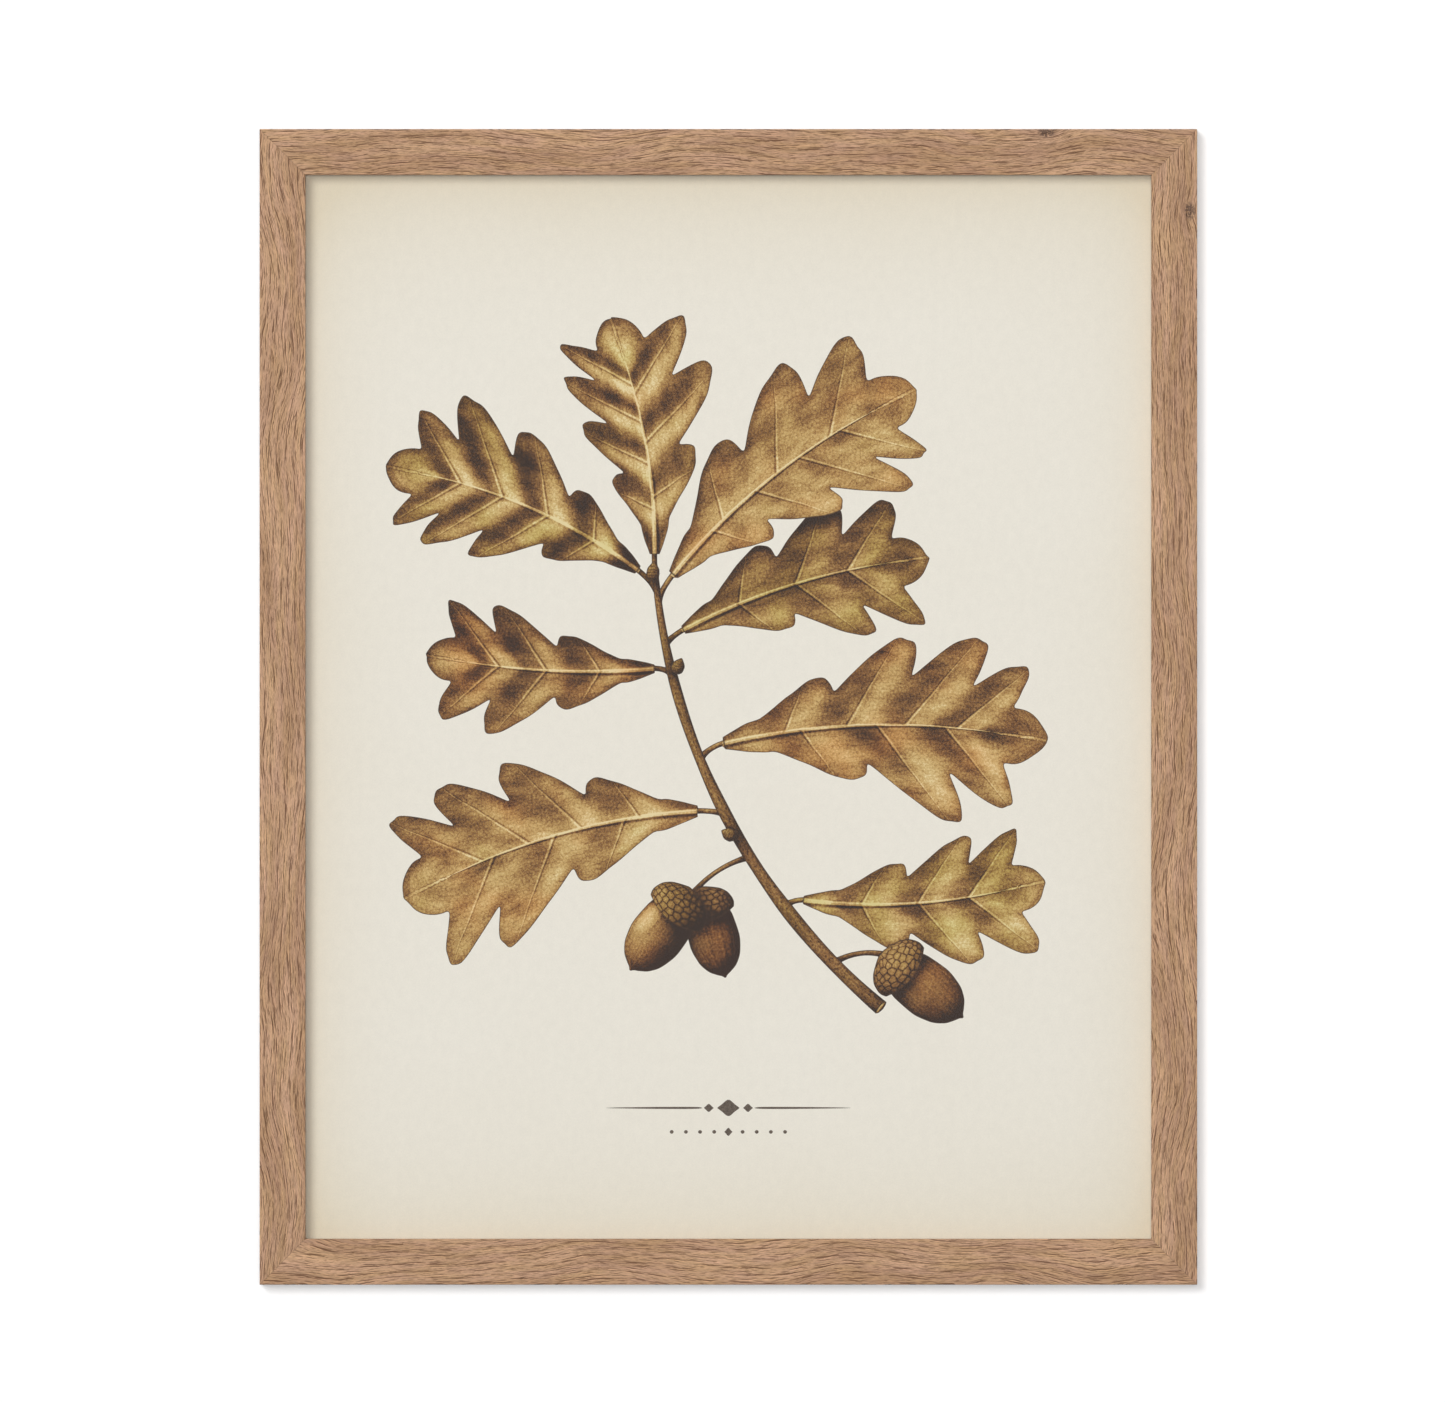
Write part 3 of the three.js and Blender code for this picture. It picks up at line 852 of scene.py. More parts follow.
def drawing():
    """Every motif, the lowest first."""
    tip = on_twig(1.0)
    left_fruit = stalk(on_twig(0.40), 214, 34, (1.7, 1.2, 1.1, 1.2, 1.8), bend=40, seed=2)
    right_fruit = stalk(on_twig(0.13), 8, 26, (1.8, 1.3, 1.2, 1.3, 1.8), bend=-50, seed=3)
    left_end, right_end = left_fruit.spine[-1], right_fruit.spine[-1]
    return [
        *(motif for row in LEAVES for motif in leaf_on(*row)),
        left_fruit,
        right_fruit,
        stalk(*TWIG[:3], TWIG_WIDTHS, TWIG[3], seed=1),
        turned_shape("nut", np.array(TWIG[0]) - (0.7, -0.8), -40, 2.2, CUT_END, seed=64, tint=(-0.5, 0.30)),
        turned_shape("cup", tip - (1.5, 3), 84, 9, BUD, seed=61),
        turned_shape("cup", on_twig(0.80) + (1.5, 0), 66, 7.5, BUD, seed=62),
        turned_shape("cup", on_twig(0.45) - (1, 1), 152, 7, BUD, seed=63),
        *acorn(left_end + (4, 4), 286, 1.10, seed=23, tint=(0.2, -0.03)),
        *acorn(left_end + (1, 3), 232, 1.20, seed=21),
        *acorn(right_end - (3, -1), -38, 1.22, seed=22, tint=(0.1, 0.02)),
    ]


RULE_Y = -184.0
SMALL_RULE_Y = -195.0
BAR = [(0, 0.06), (0.12, 0.22), (0.8, 0.5), (0.95, 0.42), (1, 0.1)]
LOZENGE = [(0, 0.08), (0.18, 0.75), (0.5, 1.9), (0.82, 0.75), (1, 0.08)]
DOT = [(0, 0.1), (0.2, 0.66), (0.5, 0.85), (0.8, 0.66), (1, 0.1)]
DOT_PITCH = 6.5


def ornament():
    """A small rule with lozenges under the drawing, where a caption would stand."""
    marks = []
    for heading, side in ((0, -1), (180, 1)):
        marks.append(turned_shape("ink", (side * 56, RULE_Y), heading, 44, BAR))
        marks.append(turned_shape("ink", (side * 11.2, RULE_Y), heading, 4.4, LOZENGE))
        for place in range(1, 5):
            start = (side * (DOT_PITCH * place + 0.9), SMALL_RULE_Y)
            marks.append(turned_shape("ink", start, heading, 1.8, DOT))
    large = [(share, 2 * half) for share, half in LOZENGE]
    marks.append(turned_shape("ink", (-5, RULE_Y), 0, 10, large))
    marks.append(turned_shape("ink", (-1.8, SMALL_RULE_Y), 0, 3.6, LOZENGE))
    return marks


def inward_points(motif):
    """Points inside an outline that keep the fields near its edge true."""
    outline = motif.outline
    ahead = np.roll(outline, -1, 0) - np.roll(outline, 1, 0)
    ahead = ahead / np.maximum(np.linalg.norm(ahead, axis=1, keepdims=True), 1e-9)
    found = []
    for number, reach in enumerate(RINGS):
        for i in range(0, len(outline), number + 1):
            for side in (1, -1):
                x, y = outline[i] + side * reach * np.array((-ahead[i, 1], ahead[i, 0]))
                if motif.holds(x, y) and motif.from_edge(x, y)[0] > 0.85 * reach:
                    found.append((x, y))
    return found


def fill_points(motifs):
    """An even triangular grid of points inside the motifs, clear of their outlines."""
    low = np.min([m.low for m in motifs], 0)
    high = np.max([m.high for m in motifs], 0)
    found = []
    for row, y in enumerate(np.arange(low[1], high[1], FILL_STEP * 0.866)):
        for x in np.arange(low[0] + (row % 2) * FILL_STEP / 2, high[0], FILL_STEP):
            inside = [m for m in motifs if m.holds(x, y)]
            if inside and min(m.from_edge(x, y)[0] for m in inside) > RINGS[-1] * 0.9:
                found.append((x, y))
    return found


def under_shade(motifs, number, x, y):
    """How deep a point of one motif lies in the shade of those drawn over it."""
    deepest = 0.0
    for over in motifs[number + 1 :]:
        if not over.near(x, y, UNDER_REACH * 3):
            continue
        far, near_x, near_y = over.from_edge(x, y)
        towards = ((x - near_x) * SUN_2D[0] + (y - near_y) * SUN_2D[1]) / max(far, 0.3)
        deepest = max(deepest, (UNDER_DARK - UNDER_LEE * towards) * math.exp(-far / UNDER_REACH))
    return deepest


FIELDS = 12  # place, form, light and tint, three values each
EDGE_FIELD = 2  # the third value of place: the distance to the outline
UNDER_FIELD = 8  # the third value of light: the shade of what lies on top


def sheet_net(motifs, half_w, half_h):
    """The sheet's points, its corners first, and the edges that its faces have to follow."""
    points = [(-half_w, -half_h), (half_w, -half_h), (half_w, half_h), (-half_w, half_h)]
    edges = [(0, 1), (1, 2), (2, 3), (3, 0)]
    for motif in motifs:
        for line, closed in ((motif.outline, True), (motif.spine, False)):
            first, count = len(points), len(line)
            points += [tuple(p) for p in line]
            steps = range(count if closed else count - 1)
            edges += [(first + i, first + (i + 1) % count) for i in steps]
        points += inward_points(motif)
    points += fill_points([m for m in motifs if m.kind != "ink"])
    for x in np.arange(-half_w + PAPER_STEP / 2, half_w, PAPER_STEP):
        for y in np.arange(-half_h + PAPER_STEP / 2, half_h, PAPER_STEP):
            if not any(m.holds(x, y) for m in motifs):
                points.append((float(x), float(y)))
    return points, edges


def top_motif(motifs, x, y):
    """The number and the patch of the uppermost motif that holds a point, or None twice."""
    for number in reversed(range(len(motifs))):
        patch = motifs[number].holds(x, y)
        if patch:
            return number, patch
    return None, None


def drawn_fields(motifs, flat, triangles):
    """Each triangle's kind of ink, and the field values of each of its corners."""
    kinds, corner_fields = [], []
    cache = {}
    for triangle in triangles:
        corners = [flat[i] for i in triangle]
        x, y = sum(c.x for c in corners) / 3, sum(c.y for c in corners) / 3
        number, patch = top_motif(motifs, x, y)
        if patch is None:
            kinds.append(0)
            corner_fields += [np.zeros(FIELDS)] * 3
            continue
        motif = motifs[number]
        kinds.append(list(INKS).index(motif.kind))
        for i, corner in zip(triangle, corners):
            key = (id(patch), i)
            if key not in cache:
                fields = np.concatenate([patch.at(corner.x, corner.y), motif.tint])
                fields[EDGE_FIELD] = motif.from_edge(corner.x, corner.y)[0]
                fields[UNDER_FIELD] = under_shade(motifs, number, corner.x, corner.y)
                cache[key] = fields
            corner_fields.append(cache[key])
    return kinds, corner_fields


def print_piece():
    """The sheet as one closed slab whose front face is split along everything drawn on it."""
    motifs = drawing() + ornament()
    half_w, half_h = ((print_high[i] - print_low[i]) / 2 / MM for i in (0, 2))
    points, edges = sheet_net(motifs, half_w, half_h)
    flat, _, triangles, *_ = delaunay_2d_cdt([Vector(p) for p in points], edges, [], 0, 1e-5, False)
    kinds, corner_fields = drawn_fields(motifs, flat, triangles)

    def at_corner(v, x, y):
        return abs(v.x - x) < 1e-3 and abs(v.y - y) < 1e-3

    rim = [next(i for i, v in enumerate(flat) if at_corner(v, *corner)) for corner in points[:4]]
    centre, front, back = SHEET_CENTRE, print_low.y, print_high.y
    vertices = [(centre.x + v.x * MM, front, centre.z + v.y * MM) for v in flat]
    behind = [len(vertices) + k for k in range(4)]
    vertices += [(vertices[i][0], back, vertices[i][2]) for i in rim]
    faces = list(triangles)
    faces += [(rim[k], behind[k], behind[(k + 1) % 4], rim[(k + 1) % 4]) for k in range(4)]
    faces.append(tuple(reversed(behind)))
    mesh = mesh_of("print_sheet", vertices, faces)
    if mesh.polygons[0].normal.y > 0:
        mesh.flip_normals()
    corner_fields += [np.zeros(FIELDS)] * (len(mesh.loops) - len(corner_fields))
    values = np.array(corner_fields)
    for k, name in enumerate(("place", "form", "light", "tint")):
        set_vectors(mesh, name, values[:, 3 * k : 3 * k + 3], "CORNER")
    for ink in INKS.values():
        mesh.materials.append(new_material(ink))
    mesh.polygons.foreach_set("material_index", kinds + [0] * 5)
    piece = in_scene("print_sheet", mesh)
    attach(piece, "frame")
    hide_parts("print")


# ---------------------------------------------------------------- the print's materials

UNDER_GLASS = 1.13  # what the glass takes from the light, given back in the print's colours


def drawn(red, green, blue):
    return rgb(red, green, blue, UNDER_GLASS)


PALE_RIGHT = 2  # the paper is palest this far right of the sheet's centre
PALE_UNDER = 4  # and this far under it
DARK_ASIDE = 194  # and darkest this far to either side of there
DARK_UPWARDS = 246  # and this far above and below it


def paper(n):
    x, _, z = n.place()
    out_x = abs(x - SHEET_CENTRE.x / MM - PALE_RIGHT) / DARK_ASIDE
    out_z = abs(z - SHEET_CENTRE.z / MM + PALE_UNDER) / DARK_UPWARDS
    edge = out_z**8 * 0.82 + out_x**10 * 0.60
    mottle = n.noise(x / 4, z / 5.5, detail=4.0, roughness=0.75)
    cloud = n.noise(x / 60, z / 60)
    grain = n.noise(x / 0.8, z / 0.8)
    shade = n.mix((edge + cloud * 0.12).clamp(), drawn(233.4, 228.5, 216.2), drawn(220.5, 209.7, 185.5))
    shade = n.scaled(shade, 1 + mottle * 0.085 + grain * 0.065)
    n.surface(Base_Color=shade, Roughness=0.92, Specular_IOR_Level=0.2, Normal=n.bump(grain, 0.02))


INK_TONES = [
    (0.00, drawn(40, 22, 9)),
    (0.20, drawn(86, 53, 23)),
    (0.40, drawn(134, 92, 45)),
    (0.56, drawn(169, 130, 71)),
    (0.72, drawn(195, 160, 97)),
    (0.88, drawn(212, 184, 124)),
    (1.00, drawn(228, 209, 160)),
]


def ink_surface(n, tone, edge, under, hue):
    """Finishes an inked material: its tone from dark to light, its grain and its outline."""
    x, _, z = n.place()
    stipple = n.noise(x / 1.15, z / 1.15, detail=3.0, roughness=0.85)
    blotch = n.noise(x / 11, z / 11, detail=3.0)
    tone = tone + stipple * 0.75 + blotch * 0.20 - under * 0.55
    shade = n.ramp(((tone - 0.6) * 1.2 + 0.6).clamp(), INK_TONES)
    olive = n.times(shade, drawn(214, 220, 160))
    russet = n.times(shade, drawn(240, 202, 168))
    lean = n.noise(x / 24 + 8.4, z / 24) * 1.6 + hue
    shade = n.mix(lean.ease(0.0, -0.7) * 0.6, shade, olive)
    shade = n.mix(lean.ease(0.0, 0.7) * 0.55, shade, russet)
    weight = 0.42 + n.noise(x / 5, z / 5 + 9.9) * 0.5
    line = (edge / weight).ease(1.25, 0.55)
    shade = n.mix(line * 0.8, shade, drawn(58, 38, 24))
    n.surface(Base_Color=shade, Roughness=0.85, Specular_IOR_Level=0.25)


def leaf_ink(n):
    phase, share, edge = n.attribute("place")
    pitch, lateral, along = n.attribute("form")
    ahead, aside, under = n.attribute("light")
    hue, value, seed = n.attribute("tint")
    x, _, z = n.place()
    bent = phase + n.noise(phase * 1.3 + seed, share * 2) * 0.10 * share
    off = (bent + 0.5).fract() - 0.5
    fade = 1 - share**4
    relief = (0.0 - (off * 6.2832).sin() * ahead) * fade
    roll = (0.0 - ((share * 3.14).sin() * 0.4 + share - 0.6)) * aside
    soft = n.noise(bent * 2.2 + seed, lateral / 9, detail=3.0)
    rungs = abs((lateral / 3.1 + n.noise(bent * 5, lateral / 6 + seed) * 1.6).fract() - 0.5)
    net = n.cells(x / 2.1, z / 2.1, feature="DISTANCE_TO_EDGE")[0]
    tone = 0.56 + relief * 0.30 + roll * 0.26 + soft * 0.52 + value - edge.ease(4.5, 0.0) * 0.15
    tone = tone - rungs.ease(0.10, 0.0) * 0.09 - net.ease(0.11, 0.0) * 0.10

    side_width = 0.16 + (1 - share) * 0.44
    side_off = off * pitch
    side_vein = (abs(side_off) / side_width).ease(1.3, 0.5) * (1 - share * 0.55)
    side_dark = (abs(side_off + side_width * 1.6) / side_width).ease(1.5, 0.3) * (1 - share * 0.6)
    rib_width = 0.28 + (1 - along) * 0.85
    rib = (lateral / rib_width).ease(1.2, 0.6)
    rib_dark = (abs(lateral - rib_width * 1.7) / rib_width).ease(1.2, 0.1)
    tone = tone - side_dark * 0.22 - rib_dark * aside.ease(0.4, -0.4) * 0.30
    tone = tone + (side_vein * 0.26).most(rib * 0.36)
    ink_surface(n, tone, edge, under, hue)


def nut_ink(n):
    around, share, edge = n.attribute("place")
    light, facing, under = n.attribute("light")
    hue, value, seed = n.attribute("tint")
    stripe = n.noise(around * 13, share * 0.9 + seed)
    gleam = light.ease(0.86, 1.0)
    tone = light * 0.62 + 0.06 + stripe * 0.24 + gleam * 0.26 + value - share.ease(0.3, 0.0) * 0.24
    tone = tone + facing.ease(0.45, 0.0) * 0.05
    ink_surface(n, tone, edge, under, hue + 0.25)


def cup_ink(n):
    around, share, edge = n.attribute("place")
    light, _, under = n.attribute("light")
    hue, value, seed = n.attribute("tint")
    at = (around * 5.5, share * 6.5 + seed)
    gap = n.cells(*at, feature="DISTANCE_TO_EDGE", randomness=0.55)[0]
    lump = n.cells(*at, randomness=0.55)[0]
    tone = light * 0.50 + 0.16 - gap.ease(0.16, 0.0) * 0.32 - lump * 0.22 + value
    ink_surface(n, tone, edge, under, hue - 0.35)


def bark_ink(n):
    around, _, edge = n.attribute("place")
    _, along, _ = n.attribute("form")
    light, _, under = n.attribute("light")
    hue, value, seed = n.attribute("tint")
    streak = n.noise(around * 5 + seed, along / 9, detail=3.0)
    warts = n.cells(around * 2.2 + seed, along / 3.4)[0]
    tone = light * 0.55 + 0.06 + streak * 0.3 - warts.ease(0.24, 0.1) * 0.16 + value
    ink_surface(n, tone, edge, under, hue - 0.2)


def rule_ink(n):
    x, _, z = n.place()
    press = n.noise(x / 1.2, z / 1.2)
    shade = n.mix(press.ease(-0.3, 0.4), drawn(74, 62, 52), drawn(108, 95, 82))
    n.surface(Base_Color=shade, Roughness=0.8, Specular_IOR_Level=0.3)


INKS = {"paper": paper, "leaf": leaf_ink, "nut": nut_ink, "cup": cup_ink, "bark": bark_ink, "ink": rule_ink}


# ---------------------------------------------------------------- the other materials


def picture_glass(n):
    """Clear picture glass: it reflects by the angle of its front surfaces and hides nothing."""
    x, _, z = n.place()
    facing = n.add("ShaderNodeLayerWeight", {0: 0.5}, out=1)
    behind = n.add("ShaderNodeNewGeometry", out=6)
    smear = n.noise(x / 40, z / 25)
    shine = (0.04 + facing**5 * 0.96) * (1 - behind)
    rough = (smear * 0.05 + 0.05).clamp()
    gloss = n.add("ShaderNodeBsdfAnisotropic", {"Color": (1, 1, 1, 1), "Roughness": rough})
    clear = n.add("ShaderNodeBsdfTransparent", {"Color": (1, 1, 1, 1)})
    n.finish(n.add("ShaderNodeMixShader", {0: shine, 1: clear, 2: gloss}))


def rivet_off(node, i):
    """How far a rivet stands from the sheet's centre along one axis, in millimetres."""
    low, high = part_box(node)
    return abs((low[i] + high[i]) / 2 - SHEET_CENTRE[i]) / MM


# Where the clips' rivets stand in one quarter of the board
CLIP_QUARTER_MM = [[rivet_off(f"rivet_{side}_1", i) for i in (0, 2)] for side in ("left", "top")]
POLISH_MM = 7.2  # how far from its rivet a clip has polished a ring


def fibreboard(n):
    """Brown fibreboard: a fibrous mottle, a few dark chips, and a ring polished by each clip."""
    x, y, z = n.place()
    fibres = n.noise(x / 0.5, z / 1.1, y / 0.5, detail=3.0, roughness=0.7)
    felted = n.noise(x / 3.5, z / 3.5, y / 3, detail=3.0, roughness=0.7)
    cloud = n.noise(x / 30, z / 30, detail=4.0, roughness=0.6)
    threads = n.noise(x / 6 + felted, z / 0.7) + n.noise(x / 0.7, z / 6 + felted)
    chip, chance, *_ = n.cell_points(x / 3.6 + felted * 1.5, z / 3.6 + cloud * 6)
    middle_x, middle_z = SHEET_CENTRE.x / MM, SHEET_CENTRE.z / MM
    from_x, from_z = abs(x - middle_x), abs(z - middle_z)
    polish = 0.0
    for rivet_x, rivet_z in CLIP_QUARTER_MM:
        off_x, off_z = from_x - rivet_x, from_z - rivet_z
        far = (off_x * off_x + off_z * off_z).root() + felted * 1.2
        polish = (far - POLISH_MM).ease(-2.6, -0.6) * (far - POLISH_MM).ease(2.4, 0.5) + polish
    shade = n.mix(cloud.ease(-0.3, 0.3), rgb(144, 113, 84), rgb(152, 121, 91))
    shade = n.scaled(shade, 1 + fibres * 0.6 + felted * 0.25 + threads * 0.2 - polish * 0.16)
    shade = n.mix((chip / (chance**5 * 0.34 + 0.01)).ease(1.3, 0.3) * 0.3, shade, rgb(98, 74, 54))
    n.surface(
        Base_Color=shade,
        Roughness=(0.80 + fibres * 0.2 - polish * 0.25).clamp(),
        Specular_IOR_Level=0.25,
        Normal=n.bump(fibres + felted, 0.06),
    )


def plated(n, shade, dull, roughness):
    """Plated metal with fine rolling marks, dull patches and a few scratches."""
    x, y, z = n.place()
    grain = n.noise(x / 0.35, z / 0.35, y / 0.35, detail=3.0)
    patch = n.noise(x / 3.2, z / 3.2, y / 3.2, detail=4.0, roughness=0.65)
    at = (x / 0.9 + z / 2.1 + patch * 2, z / 4.5 - x / 9)
    scratch = n.cells(*at, feature="DISTANCE_TO_EDGE")[0].ease(0.035, 0.0) * patch.ease(-0.1, 0.2)
    n.surface(
        Base_Color=n.mix(patch.ease(-0.15, 0.3), shade, dull),
        Metallic=1.0,
        Roughness=(roughness + grain * 0.12 + patch * 0.35 - scratch * 0.08).clamp(),
        Normal=n.bump(grain * 0.5 - scratch, 0.02),
    )


def spring_steel(n):
    plated(n, rgb(198, 200, 202), rgb(150, 152, 155), 0.30)


def rivet_steel(n):
    plated(n, rgb(212, 212, 210), rgb(168, 168, 168), 0.26)


def brass_plate(n):
    plated(n, rgb(208, 180, 122), rgb(164, 132, 80), 0.34)


def nail_steel(n):
    plated(n, rgb(150, 152, 156), rgb(104, 104, 108), 0.4)


def felt(n):
    x, y, z = n.place()
    hairs = n.noise(x / 0.3, z / 0.3, y / 0.3, detail=4.0, roughness=0.8)
    lint = n.noise(x / 0.9, z / 0.9, y / 0.9)
    shade = n.scaled(n.mix(lint.ease(0.0, 0.3), rgb(58, 55, 52), rgb(82, 77, 71)), 1 + hairs)
    n.surface(Base_Color=shade, Roughness=0.95, Sheen_Weight=0.4, Normal=n.bump(hairs, 0.2))


GLASS_ARRIS_MM = 0.25


def glazing_piece():
    """The glass, which dims nothing behind it."""
    sheet = bpy.data.meshes.new("glazing_sheet")
    bm = bmesh.new()
    bmesh.ops.create_cube(bm, size=1.0)
    size, middle = glass_high - glass_low, (glass_low + glass_high) / 2
    shape = Matrix.Translation(middle) @ Matrix.Diagonal((*size, 1))
    bmesh.ops.transform(bm, verts=bm.verts, matrix=shape)
    bmesh.ops.bevel(bm, geom=bm.edges, offset=GLASS_ARRIS_MM * MM, segments=2, affect="EDGES")
    bm.to_mesh(sheet)
    bm.free()
    piece = smooth_piece("glazing_sheet", sheet, new_material(picture_glass))
    hide_from(piece, "shadow", "diffuse")
    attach(piece, "frame")
    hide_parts("glazing")
    return piece


def dress(node, material):
    """Gives a CAD node its material."""
    thing = frame["nodes"][node]
    thing.data.materials.clear()
    thing.data.materials.append(material)


# ---------------------------------------------------------------- the hardware behind

CLIP_INSET_MM = 16.0  # from the rebate's wall to a clip's rivet
CLIP_REACH_MM = 19.5  # from the rivet to the clip's tip
CLIP_TAIL_MM = 9.5  # and to its other end
CLIP_HALF_MM = 6.0  # half its width, and the radius of its tail
CLIP_TIP_R_MM = 4.0
CLIP_T_MM = 0.7
CLIP_SEAT_MM = 0.2  # how far it stands off the board at the rivet
CLIP_RISE_MM = 2.2  # how much higher its tip is
CLIP_RAMP_MM = (6.0, 14.0)  # where that rise starts and ends
CLIP_LIP_MM = (6.0, 2.0)  # where the finger lip starts and how high it is bent up
CLIP_RIB_MM = (5.4, 15.5, 1.5, 0.3)  # the pressed rib: from, to, half width, height
CLIP_SHARES = (0.25, 0.75)  # where along a rail the clips stand
RIVET_R_MM = 2.0
RIVET_HOLE_MM = 2.2
RIVET_HEAD_MM = (3.6, 1.3)  # radius and height
RIVET_FOOT_MM = (3.5, 0.7)  # radius and thickness of its flange in the board's front
HANGER_HALF_MM = 30.0
HANGER_LOW_MM = -1.2  # its lower edge, from the notches' tops
HANGER_TALL_MM = 8.0
HANGER_T_MM = 0.8
HANGER_GAP_MM = 1.6  # how far its middle stands off the rail
HANGER_MIDDLE_MM = 17.5  # half the length of that middle
HANGER_RAMP_MM = 2.5
HANGER_EAR_MM = 1.5  # radius of its corners
NOTCHES = 13
NOTCH_PITCH_MM = 2.5
NAIL_AT_MM = (24.0, 3.0)  # from the middle notch to a nail, aside and up
NAIL_MM = (0.75, 12.0)  # radius, and how deep it goes into the rail
NAIL_HEAD_MM = (2.2, 0.7)
NAIL_HOLE_MM = 0.95
PAD_R_MM = 5.0
RIM_MM = 0.13  # how far a pressed plate's rims are rounded
RIM_RADIANS = 1.2  # a plate's edges that bend more than this are its rims
HOLE_STEPS = 32


def arc(centre, radius, start, end, steps):
    """Points round a centre from one angle in degrees to another."""
    angles = [math.radians(start + (end - start) * i / steps) for i in range(steps + 1)]
    return [(centre[0] + radius * math.cos(a), centre[1] + radius * math.sin(a)) for a in angles]


def pressed_plate(name, outline, holes, step, thickness, lift):
    """A plate drawn in x and z with round holes and rounded rims, raised off y = 0 by lift(x, z)."""
    points, edges = [(float(x), float(z)) for x, z in outline], []
    loops = [(0, len(outline))]
    for centre, radius in holes:
        loops.append((len(points), HOLE_STEPS))
        points += arc(centre, radius, 0, 360, HOLE_STEPS)[:-1]
    for first, count in loops:
        edges += [(first + i, first + (i + 1) % count) for i in range(count)]
    rim = np.array(points)
    low, high = rim.min(0), rim.max(0)
    for x in np.arange(low[0] + step / 2, high[0], step):
        for z in np.arange(low[1] + step / 2, high[1], step):
            if np.hypot(*(rim - (x, z)).T).min() > 4 * RIM_MM:
                points.append((float(x), float(z)))
    flat, _, triangles, *_ = delaunay_2d_cdt([Vector(p) for p in points], edges, [], 1, 1e-5)

    def open_at(triangle):
        x, z = sum(flat[i].x for i in triangle) / 3, sum(flat[i].y for i in triangle) / 3
        return any(math.hypot(x - c[0], z - c[1]) < r * 0.98 for c, r in holes)

    triangles = [t for t in triangles if not open_at(t)]
    bm = bmesh.new()
    lower = [bm.verts.new((v.x, 0, v.y)) for v in flat]
    upper = [bm.verts.new((v.x, thickness, v.y)) for v in flat]
    for a, b, c in triangles:
        bm.faces.new((lower[a], lower[b], lower[c]))
        bm.faces.new((upper[c], upper[b], upper[a]))
    rims = [e for e in bm.edges if e.is_boundary and e.verts[0].co.y == 0]
    number = {vertex: i for i, vertex in enumerate(lower)}
    for edge in rims:
        a, b = (number[v] for v in edge.verts)
        bm.faces.new((lower[a], lower[b], upper[b], upper[a]))
    bmesh.ops.delete(bm, geom=[v for v in bm.verts if not v.link_faces], context="VERTS")
    bmesh.ops.recalc_face_normals(bm, faces=bm.faces)

    def is_rim(edge):
        level = edge.verts[0].co.y == edge.verts[1].co.y
        return level and len(edge.link_faces) == 2 and edge.calc_face_angle() > RIM_RADIANS

    sharp = [e for e in bm.edges if is_rim(e)]
    bmesh.ops.bevel(
        bm, geom=sharp, offset=RIM_MM, segments=2, profile=0.5, affect="EDGES", clamp_overlap=True
    )
    for vertex in bm.verts:
        vertex.co.y += lift(vertex.co.x, vertex.co.z)
    mesh = bpy.data.meshes.new(name)
    bm.to_mesh(mesh)
    bm.free()
    return mesh


def lathe(name, profile, sides=40, wobble=0.0):
    """A round piece along +Y from its (radius, height) profile, whose ends close on the axis."""
    vertices = [(0.0, profile[0][1], 0.0), (0.0, profile[-1][1], 0.0)]
    for radius, height in profile[1:-1]:
        for i in range(sides):
            angle = 2 * math.pi * i / sides
            near = Vector((math.cos(angle) * 2, height, math.sin(angle) * 2))
            reach = radius * (1 + wobble * noise.noise(near * 1.7))
            vertices.append((reach * math.cos(angle), height, reach * math.sin(angle)))
    faces = []
    rows = len(profile) - 2
    for i in range(sides):
        j = (i + 1) % sides
        faces.append((0, 2 + j, 2 + i))
        faces.append((1, 2 + (rows - 1) * sides + i, 2 + (rows - 1) * sides + j))
        for row in range(rows - 1):
            a, b = 2 + row * sides + i, 2 + row * sides + j
            faces.append((a, b, b + sides, a + sides))
    return face_out(mesh_of(name, vertices, faces))


def smoothstep(low, high, at):
    share = min(1.0, max(0.0, (at - low) / (high - low)))
    return share * share * (3 - 2 * share)


def clip_lift(x, z):
    """How high a clip's underside stands over the board."""
    start, tall = CLIP_LIP_MM
    lip = max(0.0, -x - start) / (CLIP_TAIL_MM - start)
    low, high, half, rise = CLIP_RIB_MM
    along = smoothstep(low, low + 2, x) * smoothstep(high, high - 2, x)
    rib = along * smoothstep(half, half * 0.3, abs(z))
    ramp = CLIP_RISE_MM * smoothstep(*CLIP_RAMP_MM, x)
    return CLIP_SEAT_MM + ramp + tall * lip * lip + rise * rib


def clip_mesh():
    """A swivel clip lying along +X from its rivet, the board's back face at y = 0."""
    half, tip_r, ramp = CLIP_HALF_MM, CLIP_TIP_R_MM, CLIP_RAMP_MM[0]
    tail, tip = half - CLIP_TAIL_MM, CLIP_REACH_MM - tip_r
    taper = np.linspace(0, 1, 12)[:-1]
    edge = [(x, -half) for x in np.linspace(tail, ramp, 12)[1:-1]]
    edge += [(ramp + (tip - ramp) * t, -half + (half - tip_r) * t) for t in taper]
    outline = arc((tail, 0), half, 90, 270, 26) + edge + arc((tip, 0), tip_r, -90, 90, 20)
    outline += [(x, -z) for x, z in reversed(edge)]
    return pressed_plate("clip", outline, [((0, 0), RIVET_HOLE_MM)], 0.75, CLIP_T_MM, clip_lift)


def hanger_lift(x, _):
    """The hanger's middle stands off the rail, so that a nail's head goes behind it."""
    return HANGER_GAP_MM * smoothstep(HANGER_MIDDLE_MM + HANGER_RAMP_MM, HANGER_MIDDLE_MM, abs(x))


